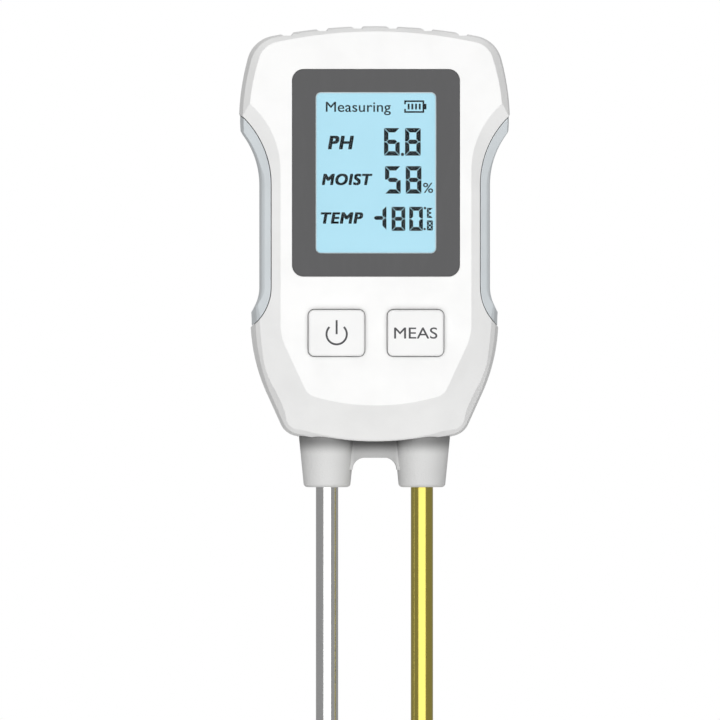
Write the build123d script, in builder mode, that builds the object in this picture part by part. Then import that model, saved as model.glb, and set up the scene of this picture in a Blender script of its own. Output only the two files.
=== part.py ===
import os

from build123d import *

# Hand-held soil tester: a display head on two probes. Millimetres, +Z up, front towards -Y.
# The origin is midway between the probe axes, on the plane where the probes leave their collars.
# "Depth" is measured from the seam plane between the two covers, positive towards the front.

# ---------------------------------------------------------------- head
head_half_width = 30.5
half_depth = 13.5
head_length = 94.4
foot_z = 9.3
wall = 2.0
top_z = foot_z + head_length
top_crown = 3.1             # rise of the top edge between its corners
foot_crown = 2.9            # drop of the bottom edge between its corners
top_corner_in = 3.3         # from the widest point in to the unrounded top corner
top_corner_radius = 7.0
widest_drop = 21.7          # widest point, below the top
side_sagitta = 0.81         # bulge of the upper side between its corner and the widest point
hip_in = 2.6                # hip, in from the widest point
hip_rise = 28.7             # hip, above the foot
thigh_in = 5.95             # start of the straight lower side
thigh_rise = 12.5
foot_corner_in = 10.3
foot_corner_radius = 4.5
heel_share = 0.62           # how much of the thigh's inset the bottom corner takes

# The side wall drafts in towards the face, then a narrow rim, then a bevel up to the face.
draft_insets = (0.5, 0.75, 1.6, 1.6, 1.15)  # at the face: top, side, hip, thigh, foot
rim_insets = (1.35, 2.0, 4.0, 4.9, 4.9)
no_insets = (0, 0, 0, 0, 0)
rim_slope = 0.553                   # millimetres in for each millimetre of depth
rim_corner_radius = 5.0
rim_foot_radius = 0.6
bevel_slope = 1.19

# The face: a straight-sided panel that flares out above the waist.
face_in = 9.1
face_foot_z = foot_z + 9.1
face_foot_crown = 2.4
face_corner_in = 15.2
face_corner_radius = 3.5
face_knee_rise = 24.6
face_knee_radius = 12.0
flare_drop = 32.7
flare_radius = 20.0

# Waist, filled by the two grips.
waist_in = 4.74             # grip surface, in from the widest point
grip_thick = 2.36
waist_top_drop = 35.7
waist_top_radius = 19.0
waist_foot_rise = 35.7
waist_foot_radius = 9.0
inlay_gap = 0.15
grip_sink = 0.25            # grip surface below the cover beside it
grip_edge = ((8.0, 0.0), (9.3, 0.3), (10.5, 1.0), (11.6, 2.1))    # depth, and distance rounded off
grip_peg_radius = 1.2
grip_peg_length = 1.7
grip_peg_rises = (42.4, 54.4)

notch_count = 6
notch_width = 2.5
notch_depth = 0.45
notch_pitch = 7.9
notch_flare = 0.5           # a notch is this much wider at its mouth
notch_angle = 60
notch_lift = 0.45           # share of the notch's depth that its middle sits below the top edge

fused = 0.5                 # how far bosses and posts run on into the wall they stand on
rib_width = 8.0             # ribs that hold the probe holder's flange down
rib_height = 1.5

lip_thick = 0.9
lip_height = 1.2
lip_gap = 0.1

# ---------------------------------------------------------------- display
display_drop = 33.1
bezel_width = 37.5
bezel_height = 46.4
bezel_radius = 2.6
bezel_thick = 0.8
view_width = 27.1
view_height = 36.2
view_radius = 1.2
window_margin = 1.15        # window pane past the viewing area, all round
window_thick = 1.0
part_gap = 0.1
lcd_width = 33.0
lcd_height = 42.0
lcd_glass = 1.1
lcd_ledge = 2.3             # contact ledge left bare by the front glass
lcd_setback = 0.9           # front glass behind the inside of the face
guide_thick = 2.6
holder_wall = 1.0
zebra_width = 31.0
zebra_height = 1.9
led_width = 3.2
led_height = 1.4
led_spacing = 18.0
glass_corner = 0.4
panel_edge = 0.3
holder_radius = 1.0

# ---------------------------------------------------------------- board
board_thick = 1.6
board_front = 4.6           # depth of the board's front side
board_half_width = 19.5
board_bottom_z = 29.0
board_top_drop = 4.9
post_radius = 2.2
post_low = (16.3, 44.5)
post_high_x = 14.0
post_high_drop = 7.4
board_screw_radius = 0.9
board_screw_length = 6.0
board_head_radius = 1.7
board_head_height = 1.2
chip_size = 10.0
chip_height = 1.3
chip_pins = 11
chip_pin_pitch = 0.8
chip_pin = (2.2, 0.32, 0.45)    # across both sides of the chip's edge, width, height
chip_edge = 0.25
chip_lift = 0.1             # chip, off the board
chip_over_key = 4.0
board_hole_gap = 0.2
board_foot_radius = 1.0
board_top_radius = 1.5

# ---------------------------------------------------------------- keys
key_width = 12.6
key_height = 10.4
key_radius = 1.3
key_spacing = 17.74
key_z = foot_z + 25.36
key_proud = 1.6
key_travel = 0.5
key_gap = 0.15              # key to cover, all round
key_flange = 0.8
key_flange_thick = 0.9
key_edge = 0.5
key_stem_radius = 2.4
switch_size = 6.0
switch_height = 3.5
plunger_radius = 1.75
plunger_gap = 0.05
plunger_proud = 1.5
plunger_length = 2.6
switch_edge = 0.4
plunger_edge = 0.2
key_wall = 1.5

# ---------------------------------------------------------------- batteries
cell_radius = 5.25
cell_length = 44.5
cell_nub_radius = 1.9
cell_nub = 0.8
cell_gap = 0.25
spring_length = 4.4
spring_wire = 0.35
spring_radius = 3.0
spring_turns = 3
contact_thick = 0.4
contact_width = 8.0
bridge_radius = 1.0
spring_slack = 0.02         # keeps a spring's ends clear of what it presses on
cell_apart = 0.7            # between the two cells
bay_side = 1.05             # cells to the bay's sides
hinge_under = 1.2           # hinge, below the bay's wall
bay_wall = 1.2
bay_top_drop = 9.0
door_thick = 1.5
door_margin = 2.1           # door past the bay, at the sides and the top
door_gap = 0.2
knuckle_radius = 1.5
pin_radius = 1.0
pin_length = 1.4
pin_gap = 0.05
seat_thick = 2.8            # rear wall under the door's edge
seat_out = 2.8              # and how far it reaches past the door's sides
seat_above = 2.0            # past its top
seat_below = 3.6            # past its hinge
battery_tab_width = 3.0
battery_tab_rise = 2.4      # tabs, above the wall they pass through
battery_tab_in = 2.0        # and off the floor of the bay
tab_slot = (3.4, 0.8)
cell_edge = 0.4
door_rib = (1.4, 1.2)       # width and height of the rib between the cells
door_rib_foot = 6.0
door_rib_head = 12.0
ridge_count = 4
ridge_pitch = 1.8
ridge_in = 1.2              # ridges, in from the tongue's sides
ridge_width = 0.8
ridge_depth = 0.4
tongue_width = 10.0
tongue_length = 9.0
tongue_slot = 0.8

# ---------------------------------------------------------------- probes and their holder
probe_spacing = 21.35
probe_radius = 2.5
probe_length = 200.0
tip_length = 11.0
tip_radius = 0.5
shank_radius = 2.0
collar_foot_radius = 5.2
collar_top_radius = 6.3
collar_edge = 0.9
collar_length = 11.0
web_foot_z = 6.6
web_half_depth = 2.4
arch_radius = 2.7
neck_gap = 0.15
flange_z = 15.5
flange_thick = 2.0
flange_out = 1.1
seal_wire = 0.72
seal_gap = 0.04             # seals, off the shank
seal_sink = 0.03            # and below the flange
collar_clear = 0.5          # arch, off the collars' feet
terminal_radius = 4.0
terminal_thick = 0.6
nut_flats = 7.0
nut_height = 2.4
nut_gap = 0.02
thread_over = 0.8           # shank, above its nut
terminal_tail = (3.0, 2.4)
terminal_tail_out = 0.4     # tail's middle, outside the ring
barrel_radius = 1.25
barrel_length = 2.6
barrel_out = 3.4            # barrel's far end, outside the ring
barrel_rise = 1.35          # barrel's middle, above the flange
wire_radius = 0.6
probe_lead_run = 1.7        # straight wire out of a barrel
probe_lead_bends = (1.3, 3.0, 1.3)
probe_lead_side = 1.2       # solder pads, out from the rising wires
probe_lead_start = 3.0      # wires lean over from this far below the board
probe_lead_front = 0.4
pad_rise = 2.6              # solder pads, above the board's foot
bead_radius = 0.95
bead_wire_radius = 0.5
bead_lead_bends = (4.0, 1.3)
bead_lead_start = 4.0
bead_lead_side = 3.0
tab_lead_rise = 1.4         # wires on the battery tabs, above the bay's wall
tab_lead_bend = 1.2
tab_lead_share = 0.4        # the bend, as a share of the space behind the board
bead_z = 4.0

# ---------------------------------------------------------------- case screws
boss_radius = 2.6
screw_radius = 1.0
screw_head_radius = 1.9
screw_head_height = 1.4
screw_sink = 5.0
screw_length = 14.5
screw_hole_gap = 0.15
screw_head_gap = 0.2
screw_head_edge = 0.5
case_slot = (2.4, 0.5, 0.7)     # cross slot: length, width and depth
board_slot = (2.0, 0.4, 0.6)
boss_low_out = 3.925        # lower screws, out from the probe axes
boss_low_rise = 15.9        # and above the foot
boss_high_in = 7.0
boss_high_drop = 9.7

# ---------------------------------------------------------------- derived places
inner_face = half_depth - wall
display_z = top_z - display_drop
board_back = board_front - board_thick
board_top_z = top_z - board_top_drop
bezel_back = half_depth - bezel_thick
window_back = bezel_back - window_thick
lcd_front = inner_face - lcd_setback
lcd_back = lcd_front - 2 * lcd_glass
lcd_foot_z = display_z - lcd_height / 2
glass_height = lcd_height - lcd_ledge
glass_z = display_z + lcd_ledge / 2
guide_z = glass_z + part_gap
key_flange_front = inner_face - key_gap
switch_top = board_front + switch_height
plunger_top = switch_top + plunger_proud

door_inner = half_depth - door_thick
cell_x = cell_radius + cell_apart / 2
cell_y = door_inner - cell_gap - cell_radius
bay_half = cell_x + cell_radius + bay_side
bay_floor = cell_y - cell_radius - cell_gap
tab_y = bay_floor + battery_tab_in
bay_top_z = top_z - bay_top_drop
bay_length = cell_length + spring_length + 2 * contact_thick
bay_foot_z = bay_top_z - bay_length
door_half = bay_half + door_margin
door_top_z = bay_top_z + door_margin
hinge_z = bay_foot_z - bay_wall - hinge_under
hinge_y = half_depth - knuckle_radius

shoulder_x = probe_spacing / 2
flange_top = flange_z + flange_thick
nut_z = flange_top + terminal_thick
barrel_end = shoulder_x - terminal_radius - barrel_out
wire_z = flange_top + barrel_rise
shank_top = nut_z + nut_height + thread_over
screw_places = [
    (side * x, z)
    for side in (-1, 1)
    for x, z in (
        (shoulder_x + boss_low_out, foot_z + boss_low_rise),
        (head_half_width - boss_high_in, top_z - boss_high_drop),
    )
]
post_places = [
    (side * x, z)
    for side in (-1, 1)
    for x, z in (post_low, (post_high_x, top_z - post_high_drop))
]


# ---------------------------------------------------------------- outlines
def head_outline(insets, moved_in, corner_radius, foot_radius):
    """The head seen from the front with no waist: insets at its top, side, hip, thigh and foot."""
    top, side, at_hip, at_thigh, foot = [inset + moved_in for inset in insets]
    corner = (head_half_width - top_corner_in - side, top_z - top_crown - top)
    widest = (head_half_width - side, top_z - widest_drop)
    hip = (head_half_width - hip_in - at_hip, foot_z + hip_rise)
    thigh = (head_half_width - thigh_in - at_thigh, foot_z + thigh_rise)
    heel = (head_half_width - foot_corner_in - heel_share * at_thigh, foot_z + foot_crown + foot)
    with BuildLine() as edge:
        ThreePointArc((-corner[0], corner[1]), (0, top_z - top), corner)
        SagittaArc(corner, widest, side_sagitta)
        Line(widest, hip)
        TangentArc(hip, thigh, tangent=(0, -1))
        Line(thigh, heel)
        ThreePointArc(heel, (0, foot_z + foot), (-heel[0], heel[1]))
        Line((-heel[0], heel[1]), (-thigh[0], thigh[1]))
        TangentArc((-hip[0], hip[1]), (-thigh[0], thigh[1]), tangent=(0, -1))
        Line((-hip[0], hip[1]), (-widest[0], widest[1]))
        SagittaArc((-widest[0], widest[1]), (-corner[0], corner[1]), side_sagitta)
    make_face(edge.edges())
    fillet(vertices().group_by(Axis.Y)[-1], corner_radius - moved_in)
    fillet(vertices().group_by(Axis.Y)[0], max(foot_radius - moved_in, rim_foot_radius))


def face_outline(grown):
    """The flat front panel, grown all round; it flares out above the waist past the head."""
    half = head_half_width - face_in
    flare = (half + flare_radius, top_z - flare_drop)
    lean = 0.6186 * grown
    heel = (head_half_width - face_corner_in + lean, face_foot_z + face_foot_crown - grown)
    knee = (half + grown, foot_z + face_knee_rise - 0.237 * grown)
    past_top = top_z + 20
    past_side = head_half_width + 8
    with BuildLine() as edge:
        Line(heel, knee)
        Line(knee, (half + grown, flare[1]))
        curve = CenterArc(flare, flare_radius - grown, 180, -80)
        Polyline(curve @ 1, (past_side, (curve @ 1).Y + 1), (past_side, past_top), (0, past_top))
        mirror(about=Plane.YZ)
        ThreePointArc((-heel[0], heel[1]), (0, face_foot_z - grown), heel)
    make_face(edge.edges())
    fillet(vertices().group_by(Axis.Y)[1], face_knee_radius + grown)
    fillet(vertices().group_by(Axis.Y)[0], face_corner_radius + grown)


def waist_outline(moved_in, both=True):
    """The side hollows, from the grip surface moved in towards the middle."""
    half = head_half_width - waist_in - moved_in
    past = head_half_width + 8
    top_radius = waist_top_radius + moved_in
    foot_radius = waist_foot_radius + moved_in
    top_centre = (half + top_radius, top_z - waist_top_drop)
    foot_centre = (half + foot_radius, foot_z + waist_foot_rise)
    with BuildLine() as edge:
        high = CenterArc(top_centre, top_radius, 180, -70)
        Polyline(high @ 1, (past, (high @ 1).Y), (past, foot_centre[1] - foot_radius))
        Line((past, foot_centre[1] - foot_radius), (foot_centre[0], foot_centre[1] - foot_radius))
        CenterArc(foot_centre, foot_radius, 180, 90)
        Line((half, foot_centre[1]), (half, top_centre[1]))
    make_face(edge.edges())
    if both:
        mirror(about=Plane.YZ)


def front_half(shell):
    """The front half of the head, with no waist and every wall moved in by a shell thickness."""
    face = half_depth - shell
    face_plane = Plane.XZ.offset(face)
    rim_shift = shell * ((1 + rim_slope**2) ** 0.5 - rim_slope)
    bevel_shift = shell * ((1 + bevel_slope**2) ** 0.5 - bevel_slope)
    with BuildSketch(Plane.XZ) as at_seam:
        head_outline(no_insets, shell, top_corner_radius, foot_corner_radius)
    with BuildSketch(face_plane) as at_face:
        head_outline(draft_insets, shell, top_corner_radius, foot_corner_radius)
    loft([at_seam.sketch, at_face.sketch], ruled=True)
    with BuildSketch(Plane.XZ) as rim_back:
        head_outline(rim_insets, rim_shift - face * rim_slope, rim_corner_radius, rim_foot_radius)
    with BuildSketch(face_plane) as rim_front:
        head_outline(rim_insets, rim_shift, rim_corner_radius, rim_foot_radius)
    loft([rim_back.sketch, rim_front.sketch], ruled=True, mode=Mode.INTERSECT)
    with BuildSketch(Plane.XZ) as panel_back:
        face_outline(face * bevel_slope - bevel_shift)
    with BuildSketch(face_plane) as panel_front:
        face_outline(-bevel_shift)
    loft([panel_back.sketch, panel_front.sketch], ruled=True, mode=Mode.INTERSECT)


def tube(points, bends, radius):
    """A wire along straight runs joined by arcs."""
    with BuildLine() as route:
        FilletPolyline(*points, radius=bends)
    with BuildSketch(Plane(origin=route.line @ 0, z_dir=route.line % 0)) as section:
        Circle(radius)
    sweep(section.sketch, path=route.line)


def from_rear(y):
    """A plane at a place along Y, seen from behind, so that heights stay heights."""
    return Plane((0, y, 0), x_dir=(1, 0, 0), z_dir=(0, -1, 0))


pieces = {}


# ---------------------------------------------------------------- covers
with BuildPart() as head_block:
    front_half(0)
    with BuildSketch(Plane.XZ) as notches:
        for number in range(notch_count):
            x = (number - (notch_count - 1) / 2) * notch_pitch
            drop = top_crown * (x / (head_half_width - top_corner_in)) ** 2
            with Locations((x, top_z - drop - notch_lift * notch_depth)):
                Trapezoid(notch_width + notch_flare, 2 * notch_depth, notch_angle, rotation=180)
    extrude(notches.sketch, amount=half_depth, mode=Mode.SUBTRACT)
with BuildPart() as head_hollow:
    front_half(wall)
    with BuildSketch(Plane.XZ) as saddle:
        with Locations((0, flange_z - part_gap)):
            Rectangle(4 * head_half_width, 20, align=(Align.CENTER, Align.MAX))
    extrude(saddle.sketch, amount=half_depth, mode=Mode.SUBTRACT)
    with BuildSketch(Plane.XZ) as waist_wall:
        waist_outline(grip_thick + wall)
    extrude(waist_wall.sketch, amount=half_depth, mode=Mode.SUBTRACT)


def lip_ring(outside, inside, height):
    """The interlocking edge behind the seam, between two distances in from the outer surface."""
    with BuildSketch(Plane.XZ) as ring:
        head_outline(no_insets, outside, top_corner_radius, foot_corner_radius)
        with BuildSketch() as outer_waist:
            waist_outline(grip_thick + outside)
        add(outer_waist.sketch, mode=Mode.SUBTRACT)
    with BuildSketch(Plane.XZ) as core:
        head_outline(no_insets, inside, top_corner_radius, foot_corner_radius)
        with BuildSketch() as inner_waist:
            waist_outline(grip_thick + inside)
        add(inner_waist.sketch, mode=Mode.SUBTRACT)
    ring_part = extrude(ring.sketch, amount=-height, mode=Mode.PRIVATE)
    core_part = extrude(core.sketch, amount=-height, mode=Mode.PRIVATE)
    return ring_part - core_part


def neck_slot():
    """Cut the opening that the probe holder's neck comes out of, and room for its flange."""
    with BuildSketch(Plane.XY) as slot:
        SlotCenterToCenter(probe_spacing, 2 * (collar_top_radius + neck_gap))
    extrude(slot.sketch, amount=flange_z, mode=Mode.SUBTRACT)
    with BuildSketch(Plane.XY.offset(flange_z - part_gap)) as flange_room:
        SlotCenterToCenter(probe_spacing, 2 * (collar_top_radius + flange_out + part_gap))
    extrude(flange_room.sketch, amount=flange_thick + 2 * part_gap, mode=Mode.SUBTRACT)


def peg_holes():
    """Cut the holes that hold the grips' pegs, through both waist walls on the seam."""
    for rise in grip_peg_rises:
        with BuildSketch(Plane.YZ.offset(-head_half_width)) as hole:
            with Locations((0, foot_z + rise)):
                Circle(grip_peg_radius + part_gap)
        extrude(hole.sketch, amount=2 * head_half_width, mode=Mode.SUBTRACT)


with BuildPart() as front_cover:
    add(head_block.part)
    add(head_hollow.part, mode=Mode.SUBTRACT)
    with BuildSketch(Plane.XZ) as waist_cut:
        waist_outline(grip_thick)
    extrude(amount=half_depth, mode=Mode.SUBTRACT)
    add(lip_ring(wall - lip_thick, wall, lip_height))
    with BuildSketch(Plane.XZ.offset(bezel_back)):
        with Locations((0, display_z)):
            RectangleRounded(bezel_width + 2 * part_gap, bezel_height + 2 * part_gap, bezel_radius)
    extrude(amount=bezel_thick, mode=Mode.SUBTRACT)
    with BuildSketch(Plane.XZ.offset(inner_face)):
        with Locations((0, display_z)):
            RectangleRounded(
                view_width + 2 * (window_margin + part_gap),
                view_height + 2 * (window_margin + part_gap),
                view_radius + window_margin,
            )
    extrude(amount=wall, mode=Mode.SUBTRACT)
    with BuildSketch(Plane.XZ.offset(inner_face - 1)):
        with Locations((-key_spacing / 2, key_z), (key_spacing / 2, key_z)):
            RectangleRounded(key_width + 2 * key_gap, key_height + 2 * key_gap, key_radius + key_gap)
    extrude(amount=wall + 1, mode=Mode.SUBTRACT)
    with BuildSketch(Plane.XZ.offset(board_front)):
        with Locations(*post_places):
            Circle(post_radius)
    extrude(amount=inner_face - board_front + fused)
    with BuildSketch(Plane.XZ.offset(board_front)):
        with Locations(*post_places):
            Circle(board_screw_radius + pin_gap)
    extrude(amount=board_screw_length - board_thick + fused, mode=Mode.SUBTRACT)
    with BuildSketch(Plane.XZ.offset(part_gap)):
        with Locations(*screw_places):
            Circle(boss_radius)
    extrude(amount=inner_face - part_gap + fused)
    with BuildSketch(Plane.XZ.offset(part_gap)):
        with Locations(*screw_places):
            Circle(screw_radius + pin_gap)
    extrude(amount=screw_length - (half_depth - screw_sink) + fused, mode=Mode.SUBTRACT)
    with BuildSketch(Plane.XZ.offset(web_half_depth)):
        with Locations((0, flange_top + part_gap)):
            Rectangle(rib_width, rib_height, align=(Align.CENTER, Align.MIN))
    extrude(amount=inner_face - web_half_depth)
    neck_slot()
    peg_holes()
pieces["front_cover"] = front_cover

with BuildPart() as rear_cover:
    mirror(head_block.part, about=Plane.XZ)
    mirror(head_hollow.part, about=Plane.XZ, mode=Mode.SUBTRACT)
    with BuildSketch(from_rear(half_depth)):
        with Locations(*screw_places):
            Circle(boss_radius)
    extrude(amount=half_depth - part_gap)
    with BuildSketch(from_rear(door_inner)) as seat:
        with Locations((0, door_top_z + seat_above)):
            Rectangle(
                2 * (door_half + seat_out),
                door_top_z + seat_above - hinge_z + seat_below,
                align=(Align.CENTER, Align.MAX),
            )
    extrude(amount=seat_thick)
    with BuildSketch(from_rear(door_inner)):
        with Locations((0, bay_foot_z - bay_wall)):
            Rectangle(2 * (bay_half + bay_wall), bay_length + 2 * bay_wall, align=(Align.CENTER, Align.MIN))
    extrude(amount=door_inner - bay_floor + 1)
    with BuildSketch(Plane.XZ.offset(-half_depth)):
        waist_outline(grip_thick)
    extrude(amount=half_depth, mode=Mode.SUBTRACT)
    with BuildSketch(from_rear(half_depth)) as bay:
        with Locations((0, bay_foot_z)):
            Rectangle(2 * bay_half, bay_length, align=(Align.CENTER, Align.MIN))
    extrude(amount=half_depth - bay_floor, mode=Mode.SUBTRACT)
    with BuildSketch(from_rear(half_depth)) as door_recess:
        with Locations((0, hinge_z - knuckle_radius - door_gap)):
            Rectangle(
                2 * (door_half + door_gap),
                door_top_z - hinge_z + knuckle_radius + 2 * door_gap,
                align=(Align.CENTER, Align.MIN),
            )
    extrude(amount=door_thick + door_gap, mode=Mode.SUBTRACT)
    with BuildSketch(from_rear(half_depth)) as knuckle_pocket:
        with Locations((0, hinge_z)):
            Rectangle(2 * (door_half + door_gap), 2 * (knuckle_radius + door_gap))
    extrude(amount=2 * knuckle_radius + door_gap, mode=Mode.SUBTRACT)
    with BuildSketch(Plane.YZ.offset(-door_half - door_gap - pin_length)):
        with Locations((hinge_y, hinge_z)):
            Circle(pin_radius + pin_gap)
    extrude(amount=2 * (door_half + door_gap + pin_length), mode=Mode.SUBTRACT)
    with BuildSketch(from_rear(half_depth)):
        with Locations(*screw_places):
            Circle(screw_head_radius + screw_head_gap)
    extrude(amount=screw_sink, mode=Mode.SUBTRACT)
    with BuildSketch(from_rear(half_depth)):
        with Locations(*screw_places):
            Circle(screw_radius + screw_hole_gap)
    extrude(amount=half_depth, mode=Mode.SUBTRACT)
    with BuildSketch(from_rear(inner_face)):
        with Locations((0, flange_top + part_gap)):
            Rectangle(rib_width, rib_height, align=(Align.CENTER, Align.MIN))
    extrude(amount=inner_face - web_half_depth)
    for x in (-cell_x, cell_x):
        with BuildSketch(Plane.XY.offset(bay_top_z)):
            with Locations((x, tab_y)):
                Rectangle(*tab_slot)
        extrude(amount=bay_wall, mode=Mode.SUBTRACT)
    add(lip_ring(wall - lip_thick - lip_gap, wall + lip_gap, lip_height + lip_gap), mode=Mode.SUBTRACT)
    neck_slot()
    peg_holes()
pieces["rear_cover"] = rear_cover


# ---------------------------------------------------------------- grips
with BuildPart() as grip_front:
    front_half(grip_sink)
    with BuildSketch(Plane.XZ) as outside_cut:
        waist_outline(0)
    extrude(outside_cut.sketch, amount=half_depth, mode=Mode.SUBTRACT)
    with BuildSketch(Plane.XZ) as inside_cut:
        waist_outline(grip_thick - inlay_gap, both=False)
    extrude(inside_cut.sketch, amount=half_depth, mode=Mode.INTERSECT)
    for (low, low_in), (high, high_in) in zip(grip_edge, grip_edge[1:]):
        with BuildSketch(Plane.XZ.offset(low)) as low_edge:
            waist_outline(low_in, both=False)
        with BuildSketch(Plane.XZ.offset(high)) as high_edge:
            waist_outline(high_in, both=False)
        loft([low_edge.sketch, high_edge.sketch], ruled=True, mode=Mode.SUBTRACT)
    with BuildSketch(Plane.XZ.offset(grip_edge[-1][0])) as above_edge:
        waist_outline(grip_edge[-1][1], both=False)
    extrude(above_edge.sketch, amount=half_depth, mode=Mode.SUBTRACT)

with BuildPart() as right_grip:
    add(grip_front.part)
    mirror(grip_front.part, about=Plane.XZ)
    for rise in grip_peg_rises:
        with BuildSketch(Plane.YZ.offset(head_half_width - waist_in - grip_thick + inlay_gap)) as peg:
            with Locations((0, foot_z + rise)):
                Circle(grip_peg_radius)
        extrude(peg.sketch, amount=-grip_peg_length)
pieces["right_grip"] = right_grip

with BuildPart() as left_grip:
    mirror(right_grip.part, about=Plane.YZ)
pieces["left_grip"] = left_grip

# ---------------------------------------------------------------- display
with BuildPart() as display_bezel:
    with BuildSketch(Plane.XZ.offset(bezel_back)):
        with Locations((0, display_z)):
            RectangleRounded(bezel_width, bezel_height, bezel_radius - part_gap)
            RectangleRounded(view_width, view_height, view_radius, mode=Mode.SUBTRACT)
    extrude(amount=bezel_thick)
pieces["display_bezel"] = display_bezel

with BuildPart() as display_window:
    with BuildSketch(Plane.XZ.offset(window_back)):
        with Locations((0, display_z)):
            RectangleRounded(
                view_width + 2 * window_margin,
                view_height + 2 * window_margin,
                view_radius + window_margin - part_gap,
            )
    extrude(amount=window_thick)
pieces["display_window"] = display_window

with BuildPart() as lcd_rear_glass:
    with BuildSketch(Plane.XZ.offset(lcd_back)):
        with Locations((0, display_z)):
            Rectangle(lcd_width, lcd_height)
    extrude(amount=lcd_glass)
    chamfer(lcd_rear_glass.edges().filter_by(Axis.Y), glass_corner)
pieces["lcd_rear_glass"] = lcd_rear_glass

with BuildPart() as lcd_front_glass:
    with BuildSketch(Plane.XZ.offset(lcd_back + lcd_glass)):
        with Locations((0, glass_z)):
            Rectangle(lcd_width, glass_height)
    extrude(amount=lcd_glass)
    chamfer(lcd_front_glass.edges().filter_by(Axis.Y), glass_corner)
pieces["lcd_front_glass"] = lcd_front_glass

with BuildPart() as backlight_panel:
    with BuildSketch(Plane.XZ.offset(lcd_back - part_gap - guide_thick)):
        with Locations((0, guide_z)):
            Rectangle(lcd_width, glass_height - 2 * part_gap)
    extrude(amount=guide_thick)
    chamfer(backlight_panel.faces().sort_by(Axis.Y)[-1].edges(), panel_edge)
pieces["backlight_panel"] = backlight_panel

with BuildPart() as backlight_led:
    with BuildSketch(Plane.XZ.offset(board_front)):
        with Locations((-led_spacing / 2, guide_z), (led_spacing / 2, guide_z)):
            Rectangle(led_width, led_height)
    extrude(amount=lcd_back - 2 * part_gap - guide_thick - board_front)
pieces["backlight_led"] = backlight_led

with BuildPart() as zebra_strip:
    with BuildSketch(Plane.XZ.offset(board_front)):
        with Locations((0, lcd_foot_z + part_gap + zebra_height / 2)):
            Rectangle(zebra_width, zebra_height)
    extrude(amount=lcd_back - board_front)
pieces["zebra_strip"] = zebra_strip

with BuildPart() as lcd_holder:
    with BuildSketch(Plane.XZ.offset(board_front)):
        with Locations((0, display_z)):
            RectangleRounded(
                lcd_width + 2 * (holder_wall + part_gap),
                lcd_height + 2 * (holder_wall + part_gap),
                holder_radius,
            )
            Rectangle(lcd_width + 2 * part_gap, lcd_height + 2 * part_gap, mode=Mode.SUBTRACT)
    extrude(amount=inner_face - part_gap - board_front)
    with BuildSketch(Plane.XZ.offset(lcd_front + part_gap)):
        with Locations((0, display_z)):
            Rectangle(lcd_width + 2 * holder_wall, lcd_height + 2 * holder_wall)
            Rectangle(
                view_width + 2 * window_margin, view_height + 2 * window_margin, mode=Mode.SUBTRACT
            )
    extrude(amount=inner_face - lcd_front - 2 * part_gap)
pieces["lcd_holder"] = lcd_holder

# ---------------------------------------------------------------- board
with BuildPart() as main_board:
    with BuildSketch(Plane.XZ.offset(board_back)):
        with Locations((0, board_bottom_z)):
            Rectangle(2 * board_half_width, board_top_z - board_bottom_z, align=(Align.CENTER, Align.MIN))
        with Locations(*post_places):
            Circle(board_screw_radius + board_hole_gap, mode=Mode.SUBTRACT)
    extrude(amount=board_thick)
    fillet(main_board.edges().filter_by(Axis.Y).group_by(Axis.Z)[0], board_foot_radius)
    fillet(main_board.edges().filter_by(Axis.Y).group_by(Axis.Z)[-1], board_top_radius)
pieces["main_board"] = main_board

with BuildPart() as microcontroller:
    with BuildSketch(from_rear(-board_back + chip_height + chip_lift)):
        with Locations((0, key_z + chip_over_key)):
            Rectangle(chip_size, chip_size)
    extrude(amount=chip_height)
    chamfer(microcontroller.faces().sort_by(Axis.Y)[-1].edges(), chip_edge)
    with BuildSketch(from_rear(-board_back + chip_pin[2])):
        with Locations((0, key_z + chip_over_key)):
            with GridLocations(chip_size, chip_pin_pitch, 2, chip_pins):
                Rectangle(chip_pin[0], chip_pin[1])
            with GridLocations(chip_pin_pitch, chip_size, chip_pins, 2):
                Rectangle(chip_pin[1], chip_pin[0])
    extrude(amount=chip_pin[2])
pieces["microcontroller"] = microcontroller

small_parts = [
    (-13, 36, 3.2, 1.6, 1.0),
    (-13, 40, 3.2, 1.6, 1.0),
    (-8.5, 47.5, 2.0, 1.25, 0.7),
    (-4.5, 47.5, 2.0, 1.25, 0.7),
    (4.5, 47.5, 2.0, 1.25, 0.7),
    (13, 36, 4.6, 3.0, 1.4),
    (13, 41, 3.2, 2.5, 1.1),
    (9.5, 47.5, 2.0, 1.25, 0.7),
    (-16.5, 60, 2.0, 3.6, 1.2),
    (16.5, 60, 2.0, 3.6, 1.2),
    (16.5, 72, 1.6, 3.2, 0.8),
    (-16.5, 72, 1.6, 3.2, 0.8),
]
with BuildPart() as board_components:
    for x, z, width, height, thick in small_parts:
        with BuildSketch(from_rear(-board_back + thick)) as body:
            with Locations((x, z)):
                Rectangle(width, height)
        extrude(body.sketch, amount=thick)
pieces["board_components"] = board_components

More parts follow.
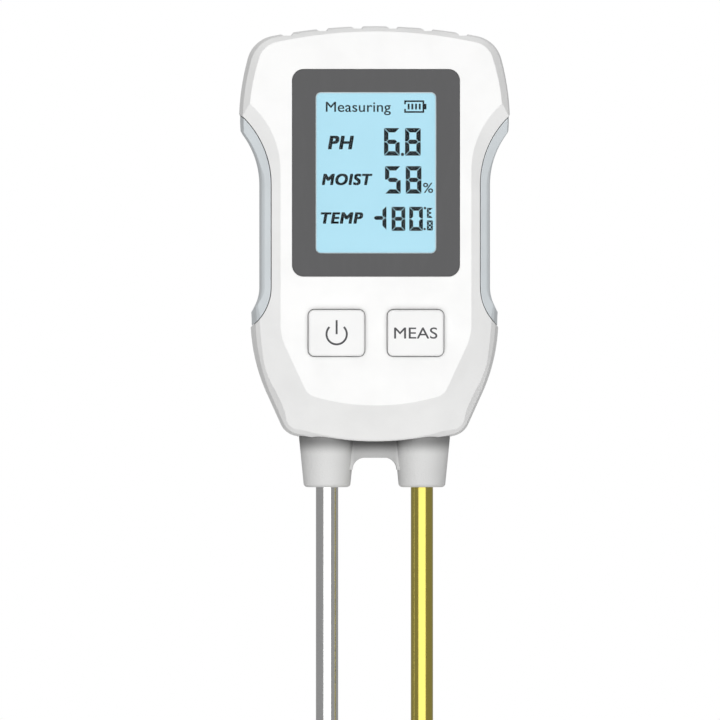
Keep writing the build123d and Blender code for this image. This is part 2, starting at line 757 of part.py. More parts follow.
# ---------------------------------------------------------------- keys
for name, side in (("power", -1), ("measure", 1)):
    x = side * key_spacing / 2
    with BuildPart() as switch:
        with BuildSketch(Plane.XZ.offset(board_front)) as can:
            with Locations((x, key_z)):
                Rectangle(switch_size, switch_size)
        extrude(can.sketch, amount=switch_height)
        chamfer(switch.faces().sort_by(Axis.Y)[0].edges(), switch_edge)
        with BuildSketch(Plane.XZ.offset(plunger_top - plunger_length - key_travel - part_gap)) as bore:
            with Locations((x, key_z)):
                Circle(plunger_radius + plunger_gap)
        extrude(bore.sketch, amount=switch_height, mode=Mode.SUBTRACT)
    pieces[name + "_switch"] = switch
    with BuildPart() as plunger:
        with BuildSketch(Plane.XZ.offset(plunger_top - plunger_length)) as rod:
            with Locations((x, key_z)):
                Circle(plunger_radius)
        extrude(rod.sketch, amount=plunger_length)
        fillet(plunger.faces().sort_by(Axis.Y)[0].edges(), plunger_edge)
    pieces[name + "_plunger"] = plunger
    with BuildPart() as key:
        with BuildSketch(Plane.XZ.offset(key_flange_front - key_flange_thick)) as flange:
            with Locations((x, key_z)):
                RectangleRounded(key_width + 2 * key_flange, key_height + 2 * key_flange, key_radius)
        extrude(flange.sketch, amount=key_flange_thick)
        with BuildSketch(Plane.XZ.offset(key_flange_front - key_flange_thick)) as cap:
            with Locations((x, key_z)):
                RectangleRounded(key_width, key_height, key_radius)
        extrude(cap.sketch, amount=half_depth + key_proud - key_flange_front + key_flange_thick)
        fillet(key.faces().sort_by(Axis.Y)[0].edges(), key_edge)
        with BuildSketch(Plane.XZ.offset(key_flange_front - key_flange_thick)) as pocket:
            with Locations((x, key_z)):
                RectangleRounded(key_width - 2 * key_wall, key_height - 2 * key_wall, key_radius)
                Circle(key_stem_radius, mode=Mode.SUBTRACT)
        extrude(pocket.sketch, amount=half_depth - key_flange_front, mode=Mode.SUBTRACT)
        with BuildSketch(Plane.XZ.offset(plunger_top)) as stem:
            with Locations((x, key_z)):
                Circle(key_stem_radius)
        extrude(stem.sketch, amount=key_flange_front - plunger_top)
    pieces[name + "_button"] = key

# ---------------------------------------------------------------- batteries
for name, side in (("battery_1", 1), ("battery_2", -1)):
    nub_z = bay_top_z - contact_thick if side > 0 else bay_foot_z + contact_thick
    with BuildPart() as cell:
        with BuildSketch(Plane.XY.offset(nub_z)) as nub:
            with Locations((-side * cell_x, cell_y)):
                Circle(cell_nub_radius)
        extrude(nub.sketch, amount=-side * (cell_nub + 0.5))
        with BuildSketch(Plane.XY.offset(nub_z - side * cell_nub)) as can:
            with Locations((-side * cell_x, cell_y)):
                Circle(cell_radius)
        extrude(can.sketch, amount=-side * (cell_length - cell_nub))
        rims = cell.edges().filter_by(GeomType.CIRCLE)
        fillet(rims.filter_by(lambda rim: rim.radius > cell_nub_radius), cell_edge)
    pieces[name] = cell

with BuildPart() as battery_springs:
    for x, foot in (
        (-cell_x, bay_foot_z + contact_thick),
        (cell_x, bay_top_z - contact_thick - spring_length),
    ):
        with BuildLine() as coil:
            Helix(
                pitch=(spring_length - 2 * spring_wire) / spring_turns,
                height=spring_length - 2 * spring_wire,
                radius=spring_radius,
                center=(x, cell_y, foot + spring_wire),
            )
        with BuildSketch(Plane(origin=coil.line @ 0, z_dir=coil.line % 0)) as wire:
            Circle(spring_wire - spring_slack)
        sweep(wire.sketch, path=coil.line, is_frenet=True)
pieces["battery_springs"] = battery_springs

with BuildPart() as battery_bridge:
    with BuildSketch(Plane.XY.offset(bay_foot_z)):
        with Locations((0, cell_y)):
            RectangleRounded(2 * cell_x + contact_width, contact_width, bridge_radius)
    extrude(amount=contact_thick)
pieces["battery_bridge"] = battery_bridge

for name, x in (("positive_contact", -cell_x), ("negative_contact", cell_x)):
    with BuildPart() as contact:
        with BuildSketch(Plane.XY.offset(bay_top_z)) as plate:
            with Locations((x, cell_y)):
                Rectangle(contact_width, 2 * (cell_y - tab_y) + contact_thick)
        extrude(plate.sketch, amount=-contact_thick)
        with BuildSketch(Plane.XY.offset(bay_top_z - contact_thick)) as tab:
            with Locations((x, tab_y)):
                Rectangle(battery_tab_width, contact_thick)
        extrude(tab.sketch, amount=bay_wall + contact_thick + battery_tab_rise)
    pieces[name] = contact

# ---------------------------------------------------------------- battery door
with BuildPart() as battery_door:
    with BuildSketch(from_rear(half_depth)):
        with Locations((0, hinge_z)):
            Rectangle(2 * door_half, door_top_z - hinge_z, align=(Align.CENTER, Align.MIN))
    extrude(amount=door_thick)
    with BuildSketch(Plane.YZ.offset(-door_half)):
        with Locations((hinge_y, hinge_z)):
            Circle(knuckle_radius)
    extrude(amount=2 * door_half)
    with BuildSketch(Plane.YZ.offset(-door_half - pin_length)):
        with Locations((hinge_y, hinge_z)):
            Circle(pin_radius)
    extrude(amount=2 * (door_half + pin_length))
    with BuildSketch(from_rear(door_inner)):
        with Locations((0, bay_foot_z + door_rib_foot)):
            Rectangle(
                door_rib[0], bay_length - door_rib_foot - door_rib_head, align=(Align.CENTER, Align.MIN)
            )
    extrude(amount=door_rib[1])
    with BuildSketch(from_rear(half_depth)) as tongue_cut:
        with Locations((0, door_top_z)):
            Rectangle(
                tongue_width + 2 * tongue_slot, tongue_length, align=(Align.CENTER, Align.MAX)
            )
            Rectangle(tongue_width, tongue_length, align=(Align.CENTER, Align.MAX), mode=Mode.SUBTRACT)
    extrude(amount=door_thick, mode=Mode.SUBTRACT)
    with BuildSketch(from_rear(half_depth)) as ridges:
        with Locations((0, door_top_z - tongue_length / 2)):
            with GridLocations(1, ridge_pitch, 1, ridge_count):
                Rectangle(tongue_width - 2 * ridge_in, ridge_width)
    extrude(amount=ridge_depth, mode=Mode.SUBTRACT)
pieces["battery_door"] = battery_door

# ---------------------------------------------------------------- probe holder
with BuildPart() as probe_holder:
    for x in (-shoulder_x, shoulder_x):
        with BuildSketch(Plane.XZ) as collar:
            with BuildLine() as collar_edge_line:
                Polyline(
                    (x, 0),
                    (x + collar_foot_radius, 0),
                    (x + collar_top_radius, collar_length),
                    (x + collar_top_radius, flange_z),
                    (x, flange_z),
                    close=True,
                )
            make_face()
            fillet(collar.vertices().group_by(Axis.Y)[0].sort_by(Axis.X)[-1], collar_edge)
        revolve(collar.sketch, axis=Axis((x, 0, 0), (0, 0, 1)))
    with BuildSketch(Plane.XZ.offset(-web_half_depth)) as web:
        with Locations((0, web_foot_z)):
            Rectangle(probe_spacing, flange_z - web_foot_z, align=(Align.CENTER, Align.MIN))
        arch_x = shoulder_x - collar_foot_radius - collar_clear
        for side in (-1, 1):
            with BuildLine() as gusset:
                Line((side * (arch_x - arch_radius), web_foot_z), (side * arch_x, web_foot_z))
                Line((side * arch_x, web_foot_z), (side * arch_x, web_foot_z - arch_radius))
                RadiusArc(
                    (side * arch_x, web_foot_z - arch_radius),
                    (side * (arch_x - arch_radius), web_foot_z),
                    -side * arch_radius,
                )
            make_face(gusset.edges())
            with Locations((side * arch_x, web_foot_z)):
                Rectangle(
                    collar_foot_radius,
                    arch_radius,
                    align=(Align.MIN if side > 0 else Align.MAX, Align.MAX),
                )
    extrude(web.sketch, amount=2 * web_half_depth)
    with BuildSketch(Plane.XY.offset(collar_length)) as neck:
        SlotCenterToCenter(probe_spacing, 2 * collar_top_radius)
    extrude(neck.sketch, amount=flange_z - collar_length)
    with BuildSketch(Plane.XY.offset(flange_z)) as flange:
        SlotCenterToCenter(probe_spacing, 2 * (collar_top_radius + flange_out))
    extrude(flange.sketch, amount=flange_thick)
    with BuildSketch(Plane.XY) as bores:
        with Locations((-shoulder_x, 0), (shoulder_x, 0)):
            Circle(shank_radius + pin_gap)
    extrude(bores.sketch, amount=flange_top, mode=Mode.SUBTRACT)
    with BuildSketch(Plane.XY.offset(flange_top)) as seal_seats:
        with Locations((-shoulder_x, 0), (shoulder_x, 0)):
            Circle(shank_radius + 2 * (seal_wire + seal_gap))
    extrude(seal_seats.sketch, amount=-2 * (seal_wire + seal_sink), mode=Mode.SUBTRACT)
pieces["probe_holder"] = probe_holder

# ---------------------------------------------------------------- probes
for name, x in (("silver_probe", -shoulder_x), ("brass_probe", shoulder_x)):
    with BuildPart() as probe:
        with BuildSketch(Plane.XZ) as half:
            with BuildLine():
                Polyline(
                    (x, shank_top),
                    (x + shank_radius, shank_top),
                    (x + shank_radius, 0),
                    (x + probe_radius, 0),
                    (x + probe_radius, tip_length - probe_length),
                    (x + tip_radius, -probe_length),
                    (x, -probe_length),
                    close=True,
                )
            make_face()
        revolve(half.sketch, axis=Axis((x, 0, 0), (0, 0, 1)))
        if name == "silver_probe":
            with BuildSketch(Plane.XY.offset(shank_top)) as sensor_bore:
                with Locations((x, 0)):
                    Circle(bead_radius + part_gap)
            sensor_bore_depth = shank_top - bead_z + bead_radius + part_gap
            extrude(sensor_bore.sketch, amount=-sensor_bore_depth, mode=Mode.SUBTRACT)
    pieces[name] = probe

with BuildPart() as probe_seals:
    with BuildSketch(Plane.XZ) as ring:
        for x in (-shoulder_x, shoulder_x):
            with Locations((x + shank_radius + seal_wire + seal_gap, flange_top - seal_wire - seal_sink)):
                Circle(seal_wire)
    for x, face in zip((-shoulder_x, shoulder_x), ring.sketch.faces().sort_by(Axis.X)):
        revolve(face, axis=Axis((x, 0, 0), (0, 0, 1)))
pieces["probe_seals"] = probe_seals

with BuildPart() as ring_terminals:
    for side in (-1, 1):
        with BuildSketch(Plane.XY.offset(flange_top)) as washer:
            with Locations((side * shoulder_x, 0)):
                Circle(terminal_radius)
            with Locations((side * (shoulder_x - terminal_radius - terminal_tail_out), 0)):
                Rectangle(*terminal_tail)
            with Locations((side * shoulder_x, 0)):
                Circle(shank_radius + pin_gap, mode=Mode.SUBTRACT)
        extrude(washer.sketch, amount=terminal_thick)
        with BuildSketch(Plane.YZ.offset(side * barrel_end)) as barrel:
            with Locations((0, wire_z)):
                Circle(barrel_radius)
        extrude(barrel.sketch, amount=side * barrel_length)
pieces["ring_terminals"] = ring_terminals

with BuildPart() as probe_nuts:
    with BuildSketch(Plane.XY.offset(nut_z)):
        with Locations((-shoulder_x, 0), (shoulder_x, 0)):
            RegularPolygon(nut_flats / 2, 6, major_radius=False)
            Circle(shank_radius + nut_gap, mode=Mode.SUBTRACT)
    extrude(amount=nut_height)
pieces["probe_nuts"] = probe_nuts

with BuildPart() as thermistor:
    with Locations((-shoulder_x, 0, bead_z)):
        Sphere(bead_radius)
pieces["thermistor"] = thermistor

# ---------------------------------------------------------------- wires
pad_z = board_bottom_z + pad_rise
for name, side in (("silver_probe_lead", -1), ("brass_probe_lead", 1)):
    with BuildPart() as lead:
        turn_x = side * (barrel_end - probe_lead_run)
        pad_x = turn_x + side * probe_lead_side
        route = (
            (side * barrel_end, 0, wire_z),
            (turn_x, 0, wire_z),
            (turn_x, 0, board_bottom_z - probe_lead_start),
            (pad_x, probe_lead_front, pad_z),
            (pad_x, -board_back, pad_z),
        )
        tube(route, probe_lead_bends, wire_radius)
    pieces[name] = lead

with BuildPart() as thermistor_lead:
    tube(
        (
            (-shoulder_x, 0, bead_z + bead_radius),
            (-shoulder_x, 0, board_bottom_z - bead_lead_start),
            (-shoulder_x + bead_lead_side, 0, pad_z),
            (-shoulder_x + bead_lead_side, -board_back, pad_z),
        ),
        bead_lead_bends,
        bead_wire_radius,
    )
pieces["thermistor_lead"] = thermistor_lead

tab_top = bay_top_z + bay_wall + tab_lead_rise
lead_y = (tab_y - board_back) / 2
lead_bend = min(tab_lead_bend, tab_lead_share * (tab_y + board_back))
lead_across = 3.4
lead_drop = 0.6
lead_fall = 0.2
for name, side in (("positive_lead", -1), ("negative_lead", 1)):
    with BuildPart() as lead:
        tube(
            (
                (side * cell_x, tab_y - contact_thick / 2, tab_top),
                (side * cell_x, lead_y, tab_top),
                (side * (cell_x + lead_across), lead_y - lead_fall, tab_top - lead_drop),
                (side * (cell_x + lead_across), -board_back, tab_top - lead_drop),
            ),
            (lead_bend, lead_bend),
            wire_radius,
        )
    pieces[name] = lead

# ---------------------------------------------------------------- screws
with BuildPart() as case_screws:
    seat_y = half_depth - screw_sink
    with BuildSketch(from_rear(seat_y + screw_head_height)) as heads:
        with Locations(*screw_places):
            Circle(screw_head_radius)
    extrude(heads.sketch, amount=screw_head_height)
    fillet(case_screws.faces().filter_by(Plane.XZ).group_by(Axis.Y)[-1].edges(), screw_head_edge)
    with BuildSketch(from_rear(seat_y)) as shanks:
        with Locations(*screw_places):
            Circle(screw_radius)
    extrude(shanks.sketch, amount=screw_length)
    with BuildSketch(from_rear(seat_y + screw_head_height)) as slots:
        with Locations(*screw_places):
            Rectangle(case_slot[0], case_slot[1])
            Rectangle(case_slot[1], case_slot[0])
    extrude(slots.sketch, amount=case_slot[2], mode=Mode.SUBTRACT)
pieces["case_screws"] = case_screws

with BuildPart() as board_screws:
    with BuildSketch(from_rear(-board_back + board_head_height)) as heads:
        with Locations(*post_places):
            Circle(board_head_radius)
    extrude(heads.sketch, amount=board_head_height)
    with BuildSketch(from_rear(-board_back)) as shanks:
        with Locations(*post_places):
            Circle(board_screw_radius)
    extrude(shanks.sketch, amount=board_screw_length)
    with BuildSketch(from_rear(-board_back + board_head_height)) as slots:
        with Locations(*post_places):
            Rectangle(board_slot[0], board_slot[1])
            Rectangle(board_slot[1], board_slot[0])
    extrude(slots.sketch, amount=board_slot[2], mode=Mode.SUBTRACT)
pieces["board_screws"] = board_screws

os.makedirs("parts", exist_ok=True)
for name, piece in pieces.items():
    piece.part.label = name
    export_step(piece.part, f"parts/{name}.step")
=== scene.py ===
"""Finishes for a hand-held soil meter: a white head with a lit display, on a steel and a brass probe."""

import math

import bmesh
import bpy
from mathutils import Matrix, Vector


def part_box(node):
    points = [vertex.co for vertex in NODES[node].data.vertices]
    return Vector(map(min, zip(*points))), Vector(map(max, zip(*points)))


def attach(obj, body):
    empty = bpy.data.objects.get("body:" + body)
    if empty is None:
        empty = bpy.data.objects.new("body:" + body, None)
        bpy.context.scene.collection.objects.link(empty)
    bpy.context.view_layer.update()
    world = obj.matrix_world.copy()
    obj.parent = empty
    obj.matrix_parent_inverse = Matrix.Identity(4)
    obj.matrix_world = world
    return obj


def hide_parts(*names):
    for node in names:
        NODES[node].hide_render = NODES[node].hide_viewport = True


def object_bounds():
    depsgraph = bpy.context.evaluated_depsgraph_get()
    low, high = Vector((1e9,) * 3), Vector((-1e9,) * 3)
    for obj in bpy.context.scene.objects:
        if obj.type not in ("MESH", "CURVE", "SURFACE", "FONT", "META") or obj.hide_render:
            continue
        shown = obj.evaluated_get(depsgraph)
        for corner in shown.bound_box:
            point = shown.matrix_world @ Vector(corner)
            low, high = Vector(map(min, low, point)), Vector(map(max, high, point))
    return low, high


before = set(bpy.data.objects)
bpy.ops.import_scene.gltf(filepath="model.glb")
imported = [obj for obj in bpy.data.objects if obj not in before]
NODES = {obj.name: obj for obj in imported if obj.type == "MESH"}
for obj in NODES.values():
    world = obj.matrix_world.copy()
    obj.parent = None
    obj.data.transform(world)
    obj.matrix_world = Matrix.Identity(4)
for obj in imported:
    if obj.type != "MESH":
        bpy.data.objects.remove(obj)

bl_info = {
    "name": "Soil Meter Finishes",
    "version": (1, 0, 0),
    "blender": (4, 5, 0),
    "location": "3D View > Sidebar > Soil Meter",
    "description": "Gives a packed soil meter its materials, display, legends and studio",
    "category": "Object",
}

CAD_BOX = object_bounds()
MM = 0.001
INK_THICK = 0.02 * MM
EDGE_TURN = 0.12            # how far the rounded normal leans from the true one on a full edge
FONT_DEPTH = 0.01           # half of a word's thickness before it is sized, in ems

CASE = "case"
POWER_KEY = "power_key"
MEASURE_KEY = "measure_key"
DOOR = "door"


# ---------------------------------------------------------------- shader maths
class Wire:
    """A shader socket that turns Python arithmetic into Math nodes."""

    def __init__(self, finish, socket):
        self.finish = finish
        self.socket = socket

    def _math(self, operation, *values):
        return self.finish.node("ShaderNodeMath", {"operation": operation}, dict(enumerate(values)))

    def __add__(self, other):
        return self._math("ADD", self, other)

    def __sub__(self, other):
        return self._math("SUBTRACT", self, other)

    def __rsub__(self, other):
        return self._math("SUBTRACT", other, self)

    def __mul__(self, other):
        return self._math("MULTIPLY", self, other)

    def __lt__(self, other):
        return self._math("LESS_THAN", self, other)

    def __gt__(self, other):
        return self._math("GREATER_THAN", self, other)

    def __abs__(self):
        return self._math("ABSOLUTE", self)

    __radd__ = __add__
    __rmul__ = __mul__

    def between(self, low, high):
        """0 at low, 1 at high, smooth between."""
        settings = {"interpolation_type": "SMOOTHSTEP"}
        return self.finish.node("ShaderNodeMapRange", settings, {"Value": self, 1: low, 2: high})


class Finish:
    """A material and the nodes that make it."""

    def __init__(self, name, **constants):
        self.material = bpy.data.materials.new(name)
        self.material.use_nodes = True
        self.tree = self.material.node_tree
        self.tree.nodes.clear()
        self.surface = self.tree.nodes.new("ShaderNodeBsdfPrincipled")
        output = self.tree.nodes.new("ShaderNodeOutputMaterial")
        self.tree.links.new(self.surface.outputs[0], output.inputs["Surface"])
        self.surface_inputs(**constants)

    def fill(self, node, values):
        """Set or link a node's sockets, by name or by index."""
        for key, value in values.items():
            socket = node.inputs[key]
            if isinstance(value, Wire):
                self.tree.links.new(value.socket, socket)
            elif isinstance(value, tuple) and len(value) == 3 and socket.type == "RGBA":
                socket.default_value = (*value, 1)
            else:
                socket.default_value = value

    def node(self, kind, settings=None, values=None, output=0):
        """Make a node: its settings first, then the values or links of its sockets."""
        node = self.tree.nodes.new(kind)
        for key, value in (settings or {}).items():
            setattr(node, key, value)
        self.fill(node, values or {})
        return Wire(self, node.outputs[output])

    def surface_inputs(self, **values):
        """Set the shader's constants, and link what varies over the surface."""
        for key, value in values.items():
            self.fill(self.surface, {key.replace("_", " ").title().replace("Ior", "IOR"): value})
        return self.material

    def place(self, scale=(1, 1, 1), at=(0, 0, 0)):
        """Object coordinates in metres, scaled along each axis."""
        place = self.node("ShaderNodeTexCoord", output="Object")
        return self.node("ShaderNodeMapping", {}, {"Vector": place, "Location": at, "Scale": scale})

    def axes(self):
        """Object coordinates as three numbers, in metres."""
        place = self.node("ShaderNodeTexCoord", output="Object")
        split = self.node("ShaderNodeSeparateXYZ", {}, {"Vector": place}).socket.node
        return [Wire(self, output) for output in split.outputs]

    def noise(self, grain, detail=2.0, stretch=(1, 1, 1), roughness=0.5):
        """Noise with grains of a size in metres."""
        place = self.place(stretch)
        values = {"Vector": place, "Scale": 1 / grain, "Detail": detail, "Roughness": roughness}
        return self.node("ShaderNodeTexNoise", {}, values)

    def blend_colours(self, factor, first, second):
        """Mix two colours by a factor."""
        settings = {"data_type": "RGBA"}
        return self.node("ShaderNodeMix", settings, {0: factor, 6: first, 7: second}, output=2)

    def soft_normal(self, radius):
        """The surface normal with every edge rounded."""
        return self.node("ShaderNodeBevel", {"samples": 4}, {"Radius": radius})

    def edge_mask(self, soft):
        """1 on an edge, 0 on open surface."""
        true = self.node("ShaderNodeNewGeometry", output="Normal")
        settings = {"operation": "DOT_PRODUCT"}
        dot = self.node("ShaderNodeVectorMath", settings, {0: soft, 1: true}, output="Value")
        return (1 - dot).between(0.0, EDGE_TURN)

    def bump(self, height, depth, normal=None):
        """A bump whose full height is a depth in metres."""
        values = {"Height": height, "Distance": depth, "Strength": 1.0}
        if normal is not None:
            values["Normal"] = normal
        return self.node("ShaderNodeBump", {}, values)


# ---------------------------------------------------------------- finishes
def scaled(colour, share, lift=0.0):
    """A colour made darker or brighter, and lifted, no channel past 1."""
    return tuple(min(1.0, channel * share + lift) for channel in colour)


def moulded(
    name, colour, roughness, grain=0.32 * MM, depth=0.006 * MM, edge=0.25 * MM, edge_highlight=0.10,
    corner_shade=0.0, reach=MM, shade_from=None, recess_shade_from=None,
):
    """Moulded plastic: a fine spark texture, soft polished edges lightened by a painted highlight, and
    painted shade in its corners.

    Its painted shadow runs from foot to head between two heights, darker towards the head, and painted
    shade darkens its recess near the middle in x.
    """
    finish = Finish(name, specular_ior_level=0.45)
    soft = finish.soft_normal(edge)
    edge_polish_and_highlight = finish.edge_mask(soft)
    cloud = finish.noise(9 * MM, 3.0)
    spark = finish.noise(grain, 3.0, roughness=0.6)
    base = finish.blend_colours(cloud.between(0.3, 0.75), colour, scaled(colour, 0.955))
    # Painted highlight: the colour is lighter along rounded edges; their real polish is in the roughness.
    base = finish.blend_colours(edge_polish_and_highlight * 0.5, base, scaled(colour, 1 + edge_highlight))
    shade_colour = scaled(colour, 0.12)
    # Painted shade: the colour darkens where ambient occlusion finds corners, creases and nearby parts.
    if corner_shade:
        values = {"Distance": reach}
        corners = 1 - finish.node("ShaderNodeAmbientOcclusion", {"samples": 8}, values, "AO")
        base = finish.blend_colours(corners.between(0.05, 1.0) * corner_shade, base, shade_colour)
    if shade_from:
        # Painted shadow under the head, deepening upward between two heights, and painted shade in the
        # recess near the middle in x.
        across, _, height = finish.axes()
        wide, narrow = recess_shade_from
        recess = (across * across).between(wide**2, narrow**2) * 0.34
        shade = height.between(*shade_from) * (cloud * 0.2 + 0.68)
        base = finish.blend_colours(shade + recess, base, shade_colour)
    return finish.surface_inputs(
        base_color=base,
        roughness=roughness + (spark - 0.5) * 0.10 - edge_polish_and_highlight * 0.12,
        normal=finish.bump(spark, depth, soft),
    )


def satin_grip(name, colour):
    """Cool grey grip inlay: satin paint with a faint metallic fleck under painted glints, and polished
    edges lightened by a painted highlight.
    """
    finish = Finish(name, specular_ior_level=0.6, coat_roughness=0.25)
    soft = finish.soft_normal(0.3 * MM)
    edge_polish_and_highlight = finish.edge_mask(soft)
    fleck = finish.noise(0.12 * MM, 2.0)
    cloud = finish.noise(6 * MM, 2.0)
    base = finish.blend_colours(cloud.between(0.35, 0.7), colour, scaled(colour, 0.96))
    glints = fleck.between(0.58, 0.75) * 0.35
    # Painted glints on the fleck and a painted highlight along the edges lighten the colour.
    base = finish.blend_colours(glints + edge_polish_and_highlight * 0.4, base, scaled(colour, 1.25))
    return finish.surface_inputs(
        base_color=base,
        metallic=fleck.between(0.5, 0.8) * 0.12 + 0.04,
        roughness=0.42 + (cloud - 0.5) * 0.10,
        coat_weight=0.25 + edge_polish_and_highlight * 0.2,
        normal=finish.bump(fleck, 0.002 * MM, soft),
    )


def display_black(name, colour):
    """The screen border: ink on the back of a hard sheet, with faint wipe marks."""
    finish = Finish(name, specular_ior_level=0.2)
    wipe = finish.noise(2.2 * MM, 4.0, stretch=(1, 1, 0.25))
    grain = finish.noise(0.2 * MM, 2.0)
    soft = finish.soft_normal(0.12 * MM)
    return finish.surface_inputs(
        base_color=finish.blend_colours(wipe.between(0.4, 0.8) * 0.5, colour, scaled(colour, 1.12)),
        roughness=0.42 + (wipe - 0.5) * 0.14,
        normal=finish.bump(grain, 0.0015 * MM, soft),
    )


def clear_pane(name, tint=(1.0, 1.0, 1.0), roughness=0.02):
    """Clear acrylic or glass, with fine hairline marks."""
    finish = Finish(name, transmission_weight=1.0, ior=1.12)
    hair = finish.noise(0.9 * MM, 5.0, stretch=(1, 1, 0.12))
    return finish.surface_inputs(base_color=tint, roughness=roughness + hair.between(0.62, 0.8) * 0.03)


def backlit_lcd(name, colour, strength):
    """The lit liquid crystal cell, a little brighter near its lamps."""
    finish = Finish(name, specular_ior_level=0.05, roughness=0.35, emission_strength=strength)
    low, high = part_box("lcd_front_glass")
    height = finish.axes()[2]
    middle = (low.z + high.z) / 2
    glow = abs(height - middle).between(10 * MM, (high.z - low.z) / 2)
    film = finish.noise(5 * MM, 3.0)
    lit = finish.blend_colours(film.between(0.35, 0.7) * 0.4, colour, scaled(colour, 0.965))
    lit = finish.blend_colours(glow * 0.6, lit, scaled(colour, 1.03))
    return finish.surface_inputs(base_color=(0.03, 0.05, 0.06), emission_color=lit)


def printed_ink(name, colour, roughness=0.5):
    """Screen-printed ink and switched-on display segments; also the pale painted highlight round the
    display.
    """
    finish = Finish(name, specular_ior_level=0.1)
    cover = finish.noise(0.25 * MM, 3.0)
    thin = scaled(colour, 1.0, lift=0.02)
    return finish.surface_inputs(
        base_color=finish.blend_colours(cover.between(0.45, 0.8) * 0.6, colour, thin),
        roughness=roughness + (cover - 0.5) * 0.12,
    )


def drawn_metal(name, colour, dark, roughness, line=0.05 * MM, stain=0.25):
    """Drawn and polished rod: fine lines along its length, light handling stains."""
    finish = Finish(name, specular_ior_level=0.5, metallic=1.0)
    lines = finish.noise(line, 3.0, stretch=(1, 1, 0.004))
    stains = finish.noise(7 * MM, 4.0, stretch=(1, 1, 0.35))
    return finish.surface_inputs(
        base_color=finish.blend_colours(stains.between(0.5, 0.85) * stain, colour, dark),
        roughness=roughness + (lines - 0.5) * 0.10 + stains.between(0.55, 0.9) * 0.10,
        normal=finish.bump(lines, 0.0006 * MM),
    )


def plated_metal(name, colour, roughness):
    """Small plated or stamped metal pieces."""
    finish = Finish(name, metallic=1.0)
    soft = finish.soft_normal(0.08 * MM)
    spots = finish.noise(0.6 * MM, 4.0)
    return finish.surface_inputs(
        base_color=finish.blend_colours(spots.between(0.5, 0.8) * 0.4, colour, scaled(colour, 0.7)),
        roughness=roughness + (spots - 0.5) * 0.2,
        normal=finish.bump(spots, 0.002 * MM, soft),
    )


def soft_rubber(name, colour, roughness=0.6):
    """Rubber, silicone or wire insulation."""
    finish = Finish(name, specular_ior_level=0.35)
    grain = finish.noise(0.15 * MM, 3.0)
    bloom = finish.noise(1.5 * MM, 3.0)
    dusty = scaled(colour, 0.85, lift=0.05)
    return finish.surface_inputs(
        base_color=finish.blend_colours(bloom.between(0.45, 0.8) * 0.5, colour, dusty),
        roughness=roughness + (grain - 0.5) * 0.15,
        normal=finish.bump(grain, 0.004 * MM),
    )


def circuit_board(name):
    """Green solder mask over copper tracks, with plated pads."""
    finish = Finish(name, specular_ior_level=0.5)
    routes, holes = 4.2 * MM, 3.1 * MM
    cells = finish.node(
        "ShaderNodeTexVoronoi",
        {"feature": "DISTANCE_TO_EDGE", "distance": "CHEBYCHEV"},
        {"Vector": finish.place(), "Scale": 1 / routes, "Randomness": 0.8},
    )
    track = 1 - cells.between(0.03, 0.07)
    values = {"Vector": finish.place(), "Scale": 1 / holes, "Randomness": 0.9}
    vias = finish.node("ShaderNodeTexVoronoi", {}, values)
    pad = vias < 0.11
    mask = finish.blend_colours(track * 0.8, (0.012, 0.11, 0.045), (0.03, 0.22, 0.09))
    weave = finish.noise(0.4 * MM, 2.0)
    return finish.surface_inputs(
        base_color=finish.blend_colours(pad, mask, (0.75, 0.66, 0.42)),
        metallic=pad,
        roughness=0.34 + (weave - 0.5) * 0.1,
        normal=finish.bump(track + pad, 0.03 * MM),
    )


def cell_sleeve(name, plus_z, direction):
    """A dry cell's printed sleeve: a bare metal end, a bright band, a dark body and thin rings."""
    finish = Finish(name, specular_ior_level=0.5, coat_roughness=0.08)
    sleeve_start, band_end, first_ring, last_ring, sleeve_end = (
        place * MM for place in (1.1, 12.5, 13.1, 40.6, 43.9)
    )
    along = (finish.axes()[2] - plus_z) * direction
    steel = (along < sleeve_start) + (along > sleeve_end)
    band = along < band_end
    ring = abs(along - first_ring) < 0.35 * MM
    second = abs(along - last_ring) < 0.3 * MM
    scuff = finish.noise(1.2 * MM, 4.0)
    colour = finish.blend_colours(band, (0.035, 0.05, 0.075), (0.64, 0.36, 0.16))
    colour = finish.blend_colours(ring + second, colour, (0.8, 0.8, 0.78))
    colour = finish.blend_colours(scuff.between(0.6, 0.85) * 0.35, colour, (0.4, 0.4, 0.4))
    colour = finish.blend_colours(steel, colour, (0.72, 0.71, 0.70))
    return finish.surface_inputs(
        base_color=colour,
        metallic=steel * 0.55 + 0.35,
        roughness=0.26 + (scuff - 0.5) * 0.16,
        coat_weight=0.6 - steel * 0.5,
    )


def paper_floor(name, colour):
    """The pale studio floor."""
    finish = Finish(name, specular_ior_level=0.2)
    fibre = finish.noise(1.4 * MM, 4.0)
    return finish.surface_inputs(
        base_color=finish.blend_colours(fibre, colour, scaled(colour, 0.985)),
        roughness=0.7 + (fibre - 0.5) * 0.1,
        normal=finish.bump(fibre, 0.01 * MM),
    )


# ---------------------------------------------------------------- mesh helpers
def give(material, *names):
    """Put one material on CAD nodes."""
    for name in names:
        for slot in NODES[name].material_slots:
            slot.material = material


def linked(name, data):
    """A new object in the scene for a mesh, a font, a light or a camera."""
    made = bpy.data.objects.new(name, data)
    bpy.context.scene.collection.objects.link(made)
    return made


def new_piece(name, mesh, material, body, replaces=()):
    """Show a finished mesh as a piece that rides on a body."""
    mesh.name = name
    mesh.materials.clear()
    mesh.materials.append(material)
    piece = linked(name, mesh)
    if replaces:
        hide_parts(*replaces)
    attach(piece, body)


def mesh_from(build, merge=0.0005 * MM):
    """A mesh from a bmesh, its doubles merged and its normals outward."""
    bmesh.ops.remove_doubles(build, verts=build.verts, dist=merge)
    bmesh.ops.recalc_face_normals(build, faces=build.faces)
    mesh = bpy.data.meshes.new("piece")
    build.to_mesh(mesh)
    build.free()
    return mesh


